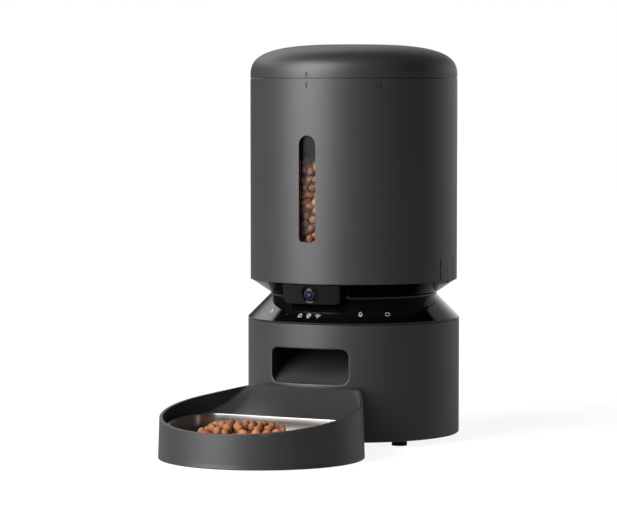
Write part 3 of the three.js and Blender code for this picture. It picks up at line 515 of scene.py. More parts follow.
def settle(piece: Piece, finish: Finish, body: Body, *nodes: str) -> None:
    """Dress a piece, let it ride on a body and hide the nodes that it stands for.

    Args:
        piece: The finished object.
        finish: Its surface.
        body: The body that it moves with.
        *nodes: Names of the nodes that it replaces.
    """
    piece.data.materials.clear()
    piece.data.materials.append(finish.material())
    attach(piece, body.value)
    if nodes:
        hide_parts(*nodes)
    LOG.info("%s rides on %s, %d faces", piece.name, body.value, len(piece.data.polygons))


def turn_about(piece: Piece, centre: Vector, degrees: float) -> Piece:
    """Turn a piece's mesh about an upright axis.

    Args:
        piece: The piece, which is changed.
        centre: A point on the axis.
        degrees: Angle from the front towards +X.

    Returns:
        The piece.
    """
    turn = Matrix.Rotation(math.radians(degrees), 4, "Z")
    piece.data.transform(Matrix.Translation(centre) @ turn @ Matrix.Translation(-centre))
    return piece


# Tower


@dataclass(frozen=True)
class TowerSizes:
    """Rings and heights of the tower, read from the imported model."""

    axis: Vector
    base_radius: float
    base_bottom: float
    base_top: float
    waist: float
    waist_radius: float
    tank_radius: float
    tank_bottom: float
    seam: float
    lid_bottom: float
    top: float
    ring_lip: float = 1.7 * MM

    @classmethod
    def from_frame(cls) -> "TowerSizes":
        """Read each ring from the boxes of the nodes that end there.

        Returns:
            The sizes.
        """
        base_low, base_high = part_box("base_shell")
        _, panel_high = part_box("control_panel")
        tank_low, tank_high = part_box("tank_shell")
        lid_low, lid_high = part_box("lid_shell")
        middle = (base_low + base_high) / 2
        radius = (base_high.x - base_low.x) / 2
        return cls(
            axis=Vector((middle.x, middle.y, 0)),
            base_radius=radius,
            base_bottom=base_low.z,
            base_top=base_high.z,
            waist=panel_high.z,
            waist_radius=radius - (panel_high.z - base_high.z - cls.ring_lip),
            tank_radius=(tank_high.x - tank_low.x) / 2,
            tank_bottom=tank_low.z,
            seam=tank_high.z,
            lid_bottom=lid_low.z,
            top=lid_high.z,
        )

    @property
    def cone_foot(self) -> float:
        """Height at which the glossy ring starts to slope."""
        return self.base_top + self.ring_lip


def edge_round(r: float, z: float, radius: float, quarter: int) -> Outline:
    """Quarter round on a profile's outer corner.

    Args:
        r: The corner's radius from the axis.
        z: The corner's height.
        radius: Size of the round.
        quarter: 0 for a lower corner, 1 for an upper one.

    Returns:
        Points against the clock.
    """
    rise = (1, -1)[quarter]
    return arc(r - radius, z + rise * radius, radius, -90 + 90 * quarter, 90 * quarter, ARC_STEPS // 2)


@dataclass
class Marks:
    """Engraved alignment marks: one on the lid, one and a pair on the tank."""

    sizes: TowerSizes
    width: float = 2.1 * MM
    height: float = 6.3 * MM
    drop: float = 2.9 * MM
    depth: float = 0.8 * MM
    lid_height: float = 5.0 * MM
    lid_rise: float = 0.6 * MM
    pair_spacing: float = 3.1 * MM
    pair_width: float = 1.2 * MM
    lid_turn: float = 40.0
    width_per_round: float = 2.02

    def groove(self, middle: float, degrees: float, width: float, height: float) -> Piece:
        """Cutter for one mark.

        Args:
            middle: Height of its middle.
            degrees: Its angle from the front.
            width: Its width.
            height: Its length.

        Returns:
            The cutter.
        """
        s = self.sizes
        outline = rounded_box(width, height, 0, middle, width / self.width_per_round)
        front = s.axis.y - s.tank_radius
        tool = prism("mark", outline, facing_front, front - OVERRUN, front + self.depth)
        return turn_about(tool, s.axis, degrees)

    def on_lid(self) -> Piece:
        """Cutter for the lid's mark."""
        middle = self.sizes.lid_bottom + self.lid_rise + self.lid_height / 2
        return self.groove(middle, 0.0, self.width, self.lid_height)

    def on_tank(self) -> list[Piece]:
        """Cut the tank's marks.

        Returns:
            Cutters for the single mark and for the pair.
        """
        middle = self.sizes.seam - self.drop - self.height / 2
        half = math.degrees(self.pair_spacing / 2 / self.sizes.tank_radius)
        marks = ((0.0, self.width), (self.lid_turn - half, self.pair_width), (self.lid_turn + half, self.pair_width))
        return [self.groove(middle, angle, width, self.height) for angle, width in marks]


@dataclass
class Lid:
    """Domed lid with a superelliptic outline and a soft lower edge."""

    sizes: TowerSizes
    marks: Marks
    wall: float = 2.5 * MM
    power: float = 3.1
    points: int = 44
    edge: float = 0.5 * MM
    edge_in: float = 0.2
    edge_up: float = 0.35
    skirt_drop: float = 0.36 * MM
    skirt_inset: float = 0.9 * MM

    def dome(self, radius: float, height: float) -> Outline:
        """Outline of the dome.

        Args:
            radius: Its radius at the rim.
            height: Its height over the rim.

        Returns:
            Points from the rim up to the axis.
        """
        bottom, share = self.sizes.lid_bottom, 2 / self.power
        line = [
            (radius * math.cos(a) ** share, bottom + height * math.sin(a) ** share)
            for a in turns(math.pi / 2, self.points)
        ]
        return line[:-1] + [(0.0, line[-1][1])]

    def build(self) -> None:
        """Make the lid and dress it."""
        s = self.sizes
        height = s.top - s.lid_bottom
        outside = self.dome(s.tank_radius, height)
        outside[0] = (s.tank_radius - self.edge, s.lid_bottom)
        outside.insert(1, (s.tank_radius - self.edge * self.edge_in, s.lid_bottom + self.edge * self.edge_up))
        inside = self.dome(s.tank_radius - self.wall, height - self.wall)
        low = s.lid_bottom - self.skirt_drop
        skirt = [
            (s.tank_radius - self.wall, low),
            (s.tank_radius - self.skirt_inset, low),
            (s.tank_radius - self.skirt_inset, s.lid_bottom),
        ]
        shell = lathe("lid_dome", outside + inside[::-1] + skirt, s.axis)
        boolean(shell, [self.marks.on_lid()])
        smooth(shell)
        settle(shell, SATIN_SHELL, Body.LID, "lid_shell")


@dataclass
class Tank:
    """Hopper wall with its level window, pane, latch tabs and glossy collar."""

    sizes: TowerSizes
    marks: Marks
    wall: float = 3.5 * MM
    wall_step: float = 6.0 * MM
    edge: float = 0.4 * MM
    fine_edge: float = 0.35 * MM
    window_width: float = 16.2 * MM
    window_bottom: float = 180.1 * MM
    window_height: float = 93.4 * MM
    window_corner: float = 3.8 * MM
    window_per_round: float = 2.01
    pane_lap: float = 4.0 * MM
    pane_wall: float = 1.8 * MM
    gap: float = 0.3 * MM
    tab_width: float = 25.0 * MM
    tab_height: float = 20.5 * MM
    tab_slit: float = 1.3 * MM
    tab_swing: float = 6.5
    tab_hinge: float = 91.15 * MM
    slash_length: float = 6.5 * MM
    slash_width: float = 0.9 * MM
    slash_lean: float = 14.0
    dot: float = 0.9 * MM
    engraving: float = 0.5 * MM
    recess_depth: float = 4.2 * MM
    recess_drop: float = 4.5 * MM
    spigot_height: float = 6.0 * MM
    spigot_wall: float = 2.4 * MM
    collar_wall: float = 2.4 * MM
    collar_step: float = 3.0 * MM
    collar_foot_gap: float = 0.5 * MM
    collar_crest_inset: float = 1.2 * MM
    notch_gap: float = 0.6 * MM
    notch_drop: float = 4.0 * MM

    def wall_of_revolution(self, name: str) -> Piece:
        """Turn the hopper's wall, whole.

        Args:
            name: The new object's name.

        Returns:
            The wall, before any cut.
        """
        s = self.sizes
        inner = s.tank_radius - self.wall
        profile = (
            edge_round(s.tank_radius, s.tank_bottom, self.edge, 0)
            + edge_round(s.tank_radius, s.seam, self.fine_edge, 1)
            + [(inner, s.seam), (inner, s.tank_bottom)]
        )
        return lathe(name, fine_profile(profile, self.wall_step), s.axis)

    def tab_box(self, side: int, margin: float, top: float, bottom: float, inner: float) -> Piece:
        """Upright box at one side of the tank.

        Args:
            side: -1 for the left side, 1 for the right.
            margin: How far it is wider than the tab at each end.
            top: Height of its upper face.
            bottom: Height of its lower face.
            inner: Radius at which it starts.

        Returns:
            The box.
        """
        s = self.sizes
        half = self.tab_width / 2 + margin
        corners = ((-half, bottom), (half, bottom), (half, top), (-half, top))
        outline = [(s.axis.y + y, z) for y, z in corners]
        return prism("tab_box", outline, facing_side, side * inner, side * (s.tank_radius + OVERRUN))

    def window(self, margin: float) -> Piece:
        """Prism through the window.

        Args:
            margin: How far it is wider than the window on every side.

        Returns:
            The prism.
        """
        s = self.sizes
        width, height = self.window_width + 2 * margin, self.window_height + 2 * margin
        middle = self.window_bottom + self.window_height / 2
        lower, upper = self.window_corner + margin, width / self.window_per_round
        outline = rounded_box(width, height, 0, middle, lower, upper)
        return prism("window_cut", outline, facing_front, s.axis.y - s.tank_radius - OVERRUN, s.axis.y)

    def build(self) -> None:
        """Make the wall, pane, tabs and collar."""
        s = self.sizes
        tab_top = s.tank_bottom + self.tab_height
        inner = s.tank_radius - self.wall - OVERRUN / 2
        shell = self.wall_of_revolution("tank_wall")
        slits = [self.tab_box(side, self.tab_slit, tab_top, s.tank_bottom - OVERRUN, inner) for side in (-1, 1)]
        boolean(shell, [self.window(0.0), *slits, *self.marks.on_tank()])
        smooth(shell)
        settle(shell, SATIN_SHELL, Body.TANK, "tank_shell")
        self.build_pane()
        self.build_tab("left_tab", -1, Body.LATCH_LEFT, "latch_tab_left", inner)
        self.build_tab("right_tab", 1, Body.LATCH_RIGHT, "latch_tab_right", inner)
        self.build_collar()

    def build_pane(self) -> None:
        """Curved clear pane behind the slot."""
        s = self.sizes
        outer = s.tank_radius - self.wall - self.gap
        low = self.window_bottom - self.pane_lap
        high = self.window_bottom + self.window_height + self.pane_lap
        ring = [(outer, low), (outer, high), (outer - self.pane_wall, high), (outer - self.pane_wall, low)]
        pane = lathe("level_pane", ring, s.axis)
        boolean(pane, [self.window(self.pane_lap)], "INTERSECT")
        smooth(pane)
        settle(pane, CLEAR_PANE, Body.TANK, "window_pane")

    def build_tab(self, name: str, side: int, body: Body, node: str, inner: float) -> None:
        """One latch tab with an engraved slash and dot.

        Its inner upper edge is cut back, so that it clears the wall when the tab is pressed in.

        Args:
            name: The piece's name.
            side: -1 for the left side, 1 for the right.
            body: The body that it moves with.
            node: Name of the node that it replaces.
            inner: Radius at which its cut starts.
        """
        s = self.sizes
        top = s.tank_bottom + self.tab_height
        tab = self.wall_of_revolution(name)
        boolean(tab, [self.tab_box(side, 0.0, top - SKIN, s.tank_bottom - OVERRUN, inner)], "INTERSECT")
        fall = math.tan(math.radians(self.tab_swing))
        for vert in tab.data.vertices:
            if vert.co.z > top - 2 * SKIN:
                vert.co.z -= max(0.0, self.tab_hinge + self.tab_slit - abs(vert.co.x)) * fall
        middle = s.tank_bottom + self.tab_height / 2
        half_w, half_l = self.slash_width / 2, self.slash_length / 2
        lean = math.radians(self.slash_lean)
        bar = ((-half_w, -half_l), (half_w, -half_l), (half_w, half_l), (-half_w, half_l))
        slash = [
            (s.axis.y + y * math.cos(lean) + z * math.sin(lean), middle + z * math.cos(lean) - y * math.sin(lean))
            for y, z in bar
        ]
        dot = arc(s.axis.y + self.dot * 3, middle - half_l, self.dot / 2, 0, 345, 23)
        near, far = side * (s.tank_radius - self.engraving), side * (s.tank_radius + OVERRUN)
        boolean(tab, [prism("engraved", line, facing_side, near, far) for line in (slash, dot)])
        smooth(tab)
        settle(tab, SATIN_SHELL, body, node)

    def build_collar(self) -> None:
        """Glossy chamfer under the wall, open round the camera pod and under the tabs."""
        s = self.sizes
        low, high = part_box("tank_collar")
        crest_z = high.z - self.spigot_height
        foot = s.waist_radius + self.collar_foot_gap
        crest = s.tank_radius - self.collar_crest_inset
        spigot = s.tank_radius - self.wall - self.gap
        spigot_in = spigot - self.spigot_wall
        slope = (crest_z - low.z) / (crest - foot)
        lift = self.collar_wall * math.hypot(1, slope)
        inner = foot - self.collar_wall
        profile = [
            (foot, low.z),
            (crest, crest_z),
            (spigot, crest_z),
            (spigot, high.z),
            (spigot_in, high.z),
            (spigot_in, low.z + (spigot_in - foot) * slope + lift),
            (inner, low.z + (inner - foot) * slope + lift),
            (inner, low.z),
        ]
        collar = lathe("neck_chamfer", fine_profile(profile, self.collar_step), s.axis)
        room, recess = spigot_in - self.spigot_wall, s.tank_radius - self.recess_depth
        cuts: list[Piece] = []
        for side in (-1, 1):
            cuts.append(self.tab_box(side, self.tab_slit, high.z + OVERRUN, crest_z, room))
            under = crest_z - self.recess_drop
            cuts.append(self.tab_box(side, -2 * self.tab_slit, crest_z + OVERRUN, under, recess))
        cuts.append(PodShape(s).blank(self.notch_gap, self.notch_drop))
        boolean(collar, cuts)
        smooth(collar)
        settle(collar, GLOSS_RING, Body.TANK, "tank_collar")


@dataclass
class PodShape:
    """Block of the camera pod: a ring stretch with a leaning front and round lower corners."""

    sizes: TowerSizes
    top_half: float = 28.7 * MM
    bottom_half: float = 26.9 * MM
    top_reach: float = 90.2 * MM
    bottom_reach: float = 86.6 * MM
    back: float = 74.0 * MM
    corner: float = 3.5 * MM
    step: float = 3.0 * MM

    def heights(self) -> tuple[float, float]:
        """Lower and upper edge of the pod."""
        low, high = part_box("camera_housing")
        return low.z, high.z

    def slope(self) -> float:
        """How far the front leans out for each metre of height."""
        low, high = self.heights()
        return (self.top_reach - self.bottom_reach) / (high - low)

    def reach(self, z: float) -> float:
        """Radius of the pod's front at a height."""
        return self.bottom_reach + (z - self.heights()[0]) * self.slope()

    def blank(self, margin: float, down: float) -> Piece:
        """Solid pod. Lengthened below it has upright sides, so that a notch lifts off it.

        Args:
            margin: How far it is grown on every side.
            down: How far it is lengthened below.

        Returns:
            The solid.
        """
        low, high = self.heights()
        top, bottom = high + margin, low - margin - down
        back, axis = self.back - margin, self.sizes.axis
        ring = [
            (back, bottom),
            (self.reach(bottom) + margin, bottom),
            (self.reach(top) + margin, top),
            (back, top),
        ]
        made = lathe("pod_block", fine_profile(ring, self.step), axis)
        wide, corner = self.top_half + margin, self.corner + margin
        narrow = wide if down > 0 else self.bottom_half + margin
        outline = (
            arc(narrow - corner, bottom + corner, corner, -90, 0)
            + [(wide, top + OVERRUN), (-wide, top + OVERRUN)]
            + arc(corner - narrow, bottom + corner, corner, 180, 270)
        )
        tool = prism("pod_outline", outline, facing_front, axis.y - self.top_reach - OVERRUN * 2, axis.y)
        return boolean(made, [tool], "INTERSECT")


@dataclass
class CameraPod:
    """Camera housing with its bezel and lens, aimed slightly down."""

    sizes: TowerSizes
    shape: PodShape
    lens_height: float = 134.0 * MM
    edge: float = 0.5 * MM
    edge_steps: int = 3
    edge_degrees: float = 40.0
    gap: float = 0.3 * MM
    bezel_radius: float = 8.0 * MM
    bezel_wall: float = 1.8 * MM
    bezel_depth: float = 3.0 * MM
    bezel_inset: float = 0.2 * MM
    proud: float = 0.5 * MM
    proud_flank: float = 0.6
    crown: float = 1.6 * MM
    crown_steps: int = 16
    crown_inset: float = 1.0 * MM
    lens_angle: float = math.radians(60)

    def aim(self) -> Matrix:
        """Find the camera's place and tilt.

        Returns:
            What moves a piece drawn along +Z to the camera's axis.
        """
        front = self.sizes.axis.y - self.shape.reach(self.lens_height)
        place = Matrix.Translation(Vector((0, front, self.lens_height)))
        return place @ Matrix.Rotation(math.radians(90) + math.atan(self.shape.slope()), 4, "X")

    def turned(self, name: str, profile: Outline) -> Piece:
        """Turn a profile about the camera's axis.

        Args:
            name: The new object's name.
            profile: Radius and depth pairs, with the depth towards the front.

        Returns:
            The closed object.
        """
        piece = lathe(name, profile, Vector((0, 0, 0)), LENS_SEGMENTS)
        piece.data.transform(self.aim())
        return piece

    def build(self) -> None:
        """Make the housing, bezel and lens."""
        housing = self.shape.blank(0.0, 0.0)
        housing.name = "pod_housing"
        hole, deep = self.bezel_radius + self.gap, OVERRUN * 2
        boolean(housing, [self.turned("port", [(0, -deep), (hole, -deep), (hole, OVERRUN), (0, OVERRUN)])])
        bevel(housing, self.edge, self.edge_steps, self.edge_degrees)
        smooth(housing)
        settle(housing, POD_SKIN, Body.BASE, "camera_housing")
        inner = self.bezel_radius - self.bezel_wall
        half = self.proud * 0.5
        bezel = self.turned(
            "lens_ring",
            [
                (inner, -self.bezel_depth),
                (self.bezel_radius, -self.bezel_depth),
                (self.bezel_radius, self.proud * self.proud_flank),
                *arc(self.bezel_radius - self.proud, half, half, 0, 180, 6),
                (inner, -self.bezel_inset),
            ],
        )
        smooth(bezel)
        settle(bezel, BEZEL_BLACK, Body.BASE, "camera_bezel")
        radius = inner - self.gap
        dome = [(0.0, -self.bezel_depth), (radius, -self.bezel_depth)]
        for i in range(self.crown_steps + 1):
            angle = math.pi / 2 * (1 - i / self.crown_steps)
            dome.append((radius * math.sin(angle), self.crown * math.cos(angle) - self.crown_inset))
        lens = self.turned("front_lens", dome)
        smooth(lens, self.lens_angle)
        settle(lens, LENS_GLASS, Body.BASE, "camera_lens")
        lens.data.materials.clear()
        lens.data.materials.append(coated_lens(self.aim().to_translation(), radius))


def coated_lens(centre: Vector, radius: float) -> bpy.types.Material:
    """Coated optical glass with a painted violet reflection of its coating in the middle, and rings of the barrel
    behind it.

    Args:
        centre: Middle of the lens.
        radius: Radius of the glass.

    Returns:
        The lens's material.
    """
    made = bpy.data.materials.new("lens_painted_violet_reflection")
    tree = empty_tree(made)
    coords = add_node(tree, "ShaderNodeTexCoord", {}, {})
    ends = {0: coords.outputs["Object"], 1: centre}
    away = add_node(tree, "ShaderNodeVectorMath", {"operation": "DISTANCE"}, ends)
    share = add_node(tree, "ShaderNodeMath", {"operation": "DIVIDE"}, {0: away.outputs["Value"], 1: radius})
    ramp = add_node(tree, "ShaderNodeValToRGB", {}, {"Fac": share.outputs[0]})
    # Painted reflection: the violet stops in the middle stand in for the light that the coating reflects.
    stops = (
        (0.0, "#5a50a8"),
        (0.26, "#3a3378"),
        (0.36, "#0b0914"),
        (0.56, "#0d0c12"),
        (0.64, "#333336"),
        (0.74, "#333336"),
        (0.8, "#08080a"),
        (1.0, "#060607"),
    )
    set_stops(ramp.color_ramp, stops)
    looks = {"Base Color": ramp.outputs["Color"], "Roughness": 0.08, "IOR": 1.3}
    shader = add_node(tree, "ShaderNodeBsdfPrincipled", {}, looks)
    add_node(tree, "ShaderNodeOutputMaterial", {}, {"Surface": shader.outputs["BSDF"]})
    return made


# Base


def side_counts(outline: Outline, step: float) -> list[int]:
    """How many stretches each side of a closed outline needs to stay under a step."""
    sides = zip(outline, outline[1:] + outline[:1])
    return [max(1, math.ceil(math.dist(a, b) / step)) for a, b in sides]


def split_evenly(outline: Outline, counts: Sequence[int]) -> Outline:
    """Split each side of a closed outline into a given number of stretches.

    Args:
        outline: The outline's points.
        counts: Stretches for each side, in order.

    Returns:
        The finer outline.
    """
    points: Outline = []
    for (a, b), (c, d), count in zip(outline, outline[1:] + outline[:1], counts):
        points += [(a + (c - a) * i / count, b + (d - b) * i / count) for i in range(count)]
    return points


@dataclass
class LippedCut:
    """Cutter for an opening pushed along Y through a round wall, which leaves a rounded lip outside."""

    axis: Vector
    radius: float
    wall: float
    lip: float
    steps: int = 5
    side_step: float = 2.0 * MM

    def tool(self, shape: Callable[[float], Outline]) -> Piece:
        """Make the cutter.

        Args:
            shape: Gives the outline in X and Z, grown by a margin.

        Returns:
            The cutter, open towards the front.
        """
        counts = side_counts(shape(0.0), self.side_step)
        rings: list[list[Vector]] = []

        def flat(margin: float, y: float) -> None:
            """Add a flat ring."""
            rings.append([Vector((x, y, z)) for x, z in split_evenly(shape(margin), counts)])

        def curved(margin: float, radius: float) -> None:
            """Add a ring that follows the round wall."""
            line = split_evenly(shape(margin), counts)
            rings.append([Vector((x, self.axis.y - math.sqrt(radius**2 - x**2), z)) for x, z in line])

        flat(self.lip, self.axis.y - self.radius - OVERRUN)
        curved(self.lip, self.radius + SKIN)
        for angle in turns(math.pi / 2, self.steps):
            curved(self.lip * (1 - math.sin(angle)), self.radius - self.lip * (1 - math.cos(angle)))
        curved(0.0, self.radius - self.wall - OVERRUN / 2)
        flat(0.0, self.axis.y - self.radius / 2)
        return loft("lipped_cut", rings)


@dataclass
class Base:
    """Motor base: its wall with the food outlet, and the glossy sloping ring above it."""

    sizes: TowerSizes
    wall: float = 2.8 * MM
    wall_step: float = 5.0 * MM
    foot_edge: float = 1.6 * MM
    fine_edge: float = 0.35 * MM
    mouth_half: float = 37.5 * MM
    mouth_bottom: float = 56.4 * MM
    mouth_height: float = 30.3 * MM
    mouth_corner: float = 6.5 * MM
    mouth_lip: float = 1.3 * MM
    socket_radius: float = 4.5 * MM
    socket_lip: float = 0.6 * MM
    socket_skin: float = 0.01 * MM
    panel_wall: float = 2.4 * MM
    panel_step: float = 3.0 * MM
    panel_edge: float = 0.3 * MM
    spigot_height: float = 6.0 * MM
    spigot_wall: float = 2.4 * MM
    gap: float = 0.3 * MM
    waist_lip: float = 1.3 * MM
    waist_lip_top: float = 0.3 * MM

    def mouth(self, margin: float) -> Outline:
        """Outline of the outlet.

        Args:
            margin: How far it is grown on every side.

        Returns:
            Points in X and Z.
        """
        width, height = 2 * (self.mouth_half + margin), self.mouth_height + 2 * margin
        middle = self.mouth_bottom + self.mouth_height / 2
        return rounded_box(width, height, 0, middle, self.mouth_corner + margin)

    def socket_cut(self) -> Piece:
        """Make the cutter for the power socket at the back.

        Returns:
            A plug with a wider, chamfered end outside.
        """
        s = self.sizes
        low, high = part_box("power_socket")
        wide, deep = self.socket_radius + self.socket_lip, OVERRUN * 3
        hole = [
            (0.0, -deep),
            (self.socket_radius, -deep),
            (self.socket_radius, -self.socket_lip),
            (wide, self.socket_skin),
            (wide, OVERRUN),
            (0.0, OVERRUN),
        ]
        cut = lathe("socket_cut", hole, Vector((0, 0, 0)), SOCKET_SEGMENTS)
        place = Matrix.Translation(Vector((0, s.axis.y + s.base_radius, (low.z + high.z) / 2)))
        cut.data.transform(place @ Matrix.Rotation(math.radians(-90), 4, "X"))
        return cut

    def build(self) -> None:
        """Make the wall and the ring."""
        s = self.sizes
        inner = s.base_radius - self.wall
        profile = (
            edge_round(s.base_radius, s.base_bottom, self.foot_edge, 0)
            + edge_round(s.base_radius, s.base_top, self.fine_edge, 1)
            + [(inner, s.base_top), (inner, s.base_bottom)]
        )
        shell = lathe("base_wall", fine_profile(profile, self.wall_step), s.axis)
        outlet = LippedCut(s.axis, s.base_radius, self.wall, self.mouth_lip).tool(self.mouth)
        boolean(shell, [outlet, self.socket_cut()])
        smooth(shell)
        settle(shell, SATIN_SHELL, Body.BASE, "base_shell")
        self.build_panel()

    def build_panel(self) -> None:
        """Glossy ring, cut open round the camera pod."""
        s = self.sizes
        foot = s.base_top + self.gap
        spigot = s.base_radius - self.wall - self.gap
        spigot_in = spigot - self.spigot_wall
        inner, lip = s.waist_radius - self.panel_wall, s.waist_radius + self.waist_lip
        profile = edge_round(s.base_radius, foot, self.panel_edge, 0) + [
            (s.base_radius, s.cone_foot),
            (lip, s.waist - self.waist_lip),
            (lip, s.waist - self.waist_lip_top),
            (s.waist_radius, s.waist - self.waist_lip_top),
            (s.waist_radius, s.waist),
            (inner, s.waist),
            (spigot_in, s.waist - (spigot_in - inner)),
            (spigot_in, foot - self.spigot_height),
            (spigot, foot - self.spigot_height),
            (spigot, foot),
        ]
        panel = lathe("touch_ring", fine_profile(profile, self.panel_step), s.axis)
        boolean(panel, [PodShape(s).blank(self.gap, 0.0)])
        smooth(panel)
        settle(panel, GLOSS_RING, Body.BASE, "control_panel")


# Icons


class Sign(Enum):
    """Common signs printed on the glossy ring."""

    SCOOP = "scoop"
    LOCK = "lock"
    CAMERA = "camera"
    NETWORK = "network"
    MICROPHONE = "microphone"
    LOOP = "loop"
    DOT = "dot"


Stroke = tuple[Outline, bool]
# Lines of each sign in a box from -1 to 1, each with its points and whether it closes.
STROKES: dict[Sign, tuple[Stroke, ...]] = {
    Sign.SCOOP: (
        ([(-0.9, -0.15), *arc(-0.15, -0.15, 0.75, 180, 360, 12)], True),
        ([(0.6, -0.1), (1.0, 0.35)], False),
        (arc(-0.15, 0.45, 0.22, 0, 330, 11), True),
    ),
    Sign.LOCK: (
        (rounded_box(1.5, 1.1, 0, -0.4, 0.2), True),
        ([(-0.45, 0.15), *arc(0, 0.35, 0.45, 180, 0, 10), (0.45, 0.15)], False),
        ([(0, -0.6), (0, -0.25)], False),
    ),
    Sign.CAMERA: (
        (arc(0, 0.15, 0.78, 0, 345, 23), True),
        (arc(0, 0.15, 0.3, 0, 330, 11), True),
        ([(-0.55, -0.95), (0.55, -0.95)], False),
        ([(0, -0.65), (0, -0.95)], False),
    ),
    Sign.NETWORK: (
        (arc(0, -0.7, 0.55, 45, 135, 10), False),
        (arc(0, -0.7, 1.05, 45, 135, 10), False),
        (arc(0, -0.7, 1.55, 45, 135, 10), False),
        (arc(0, -0.7, 0.08, 0, 300, 5), True),
    ),
    Sign.MICROPHONE: (
        (arc(0, 0.45, 0.38, 0, 180, 10) + arc(0, -0.05, 0.38, 180, 360, 10), True),
        (arc(0, -0.05, 0.72, 190, 350, 12), False),
        ([(0, -0.77), (0, -1.0)], False),
        ([(-0.35, -1.0), (0.35, -1.0)], False),
    ),
    Sign.LOOP: (
        (arc(0, 0, 0.8, 20, 160, 14), False),
        (arc(0, 0, 0.8, 200, 340, 14), False),
        ([(0.45, 0.35), (0.77, 0.2), (1.0, 0.5)], False),
        ([(-0.45, -0.35), (-0.77, -0.2), (-1.0, -0.5)], False),
    ),
    Sign.DOT: ((arc(0, 0, 0.12, 0, 315, 7), True),),
}


@dataclass(frozen=True)
class PrintedSign:
    """One sign: what it shows, its angle from the front, its height, its half size and its ink."""

    sign: Sign
    degrees: float
    height: float
    half: float
    finish: Finish = ICON_INK


@dataclass
class SignPrinter:
    """Lays printed signs on the sloping ring as thin raised ink."""

    sizes: TowerSizes
    line: float = 0.34 * MM
    lift: float = 0.03 * MM
    thickness: float = 0.06 * MM
    signs: tuple[PrintedSign, ...] = (
        PrintedSign(Sign.SCOOP, -29.9, 117.8 * MM, 2.5 * MM),
        PrintedSign(Sign.DOT, -14.9, 115.8 * MM, 2.0 * MM, ICON_DIM),
        PrintedSign(Sign.LOCK, -5.45, 115.7 * MM, 2.2 * MM),
        PrintedSign(Sign.CAMERA, -0.06, 115.7 * MM, 2.4 * MM),
        PrintedSign(Sign.NETWORK, 5.56, 115.2 * MM, 2.3 * MM),
        PrintedSign(Sign.MICROPHONE, 30.06, 117.5 * MM, 2.6 * MM),
        PrintedSign(Sign.LOOP, 45.9, 117.1 * MM, 2.4 * MM),
    )

    def place(self, item: PrintedSign, u: float, v: float, height: float) -> Vector:
        """Find a point of a sign on the slope.

        Args:
            item: The sign.
            u: Distance to the right of its middle.
            v: Distance up the slope from its middle.
            height: Distance off the slope.

        Returns:
            The place.
        """
        s = self.sizes
        distance = s.base_radius - (item.height - s.cone_foot)
        r = distance - v / math.sqrt(2) + height / math.sqrt(2)
        z = item.height + (v + height) / math.sqrt(2)
        angle = math.radians(item.degrees) + u / distance
        return s.axis + Vector((r * math.sin(angle), -r * math.cos(angle), z))

    def ribbon(self, work: bmesh.types.BMesh, item: PrintedSign, stroke: Stroke) -> None:
        """Add one line of a sign as a thin bar.

        Args:
            work: The mesh being edited.
            item: The sign.
            stroke: The line's points, and whether it closes.
        """
        points, closed = stroke
        line = [(u * item.half, v * item.half) for u, v in points]
        count = len(line)
        corners = ((1, self.lift), (1, self.thickness), (-1, self.thickness), (-1, self.lift))
        rows: list[list[Vert]] = []
        for i, (u, v) in enumerate(line):
            before = line[i - 1] if i > 0 or closed else line[i]
            after = line[(i + 1) % count] if i < count - 1 or closed else line[i]
            du, dv = after[0] - before[0], after[1] - before[1]
            length = math.hypot(du, dv) or 1.0
            across = (-dv / length * self.line / 2, du / length * self.line / 2)
            row = [self.place(item, u + side * across[0], v + side * across[1], height) for side, height in corners]
            rows.append([work.verts.new(place) for place in row])
        bridge(work, rows + rows[:1] if closed else rows)
        if not closed:
            work.faces.new(rows[0])
            work.faces.new(rows[-1])

    def build(self) -> None:
        """Print every sign, one piece for each ink."""
        for finish, name in ((ICON_INK, "touch_signs"), (ICON_DIM, "standby_dots")):
            work = bmesh.new()
            for item in self.signs:
                if item.finish is finish:
                    for stroke in STROKES[item.sign]:
                        self.ribbon(work, item, stroke)
            settle(closed_object(name, work), finish, Body.BASE)


# Tray and bowl


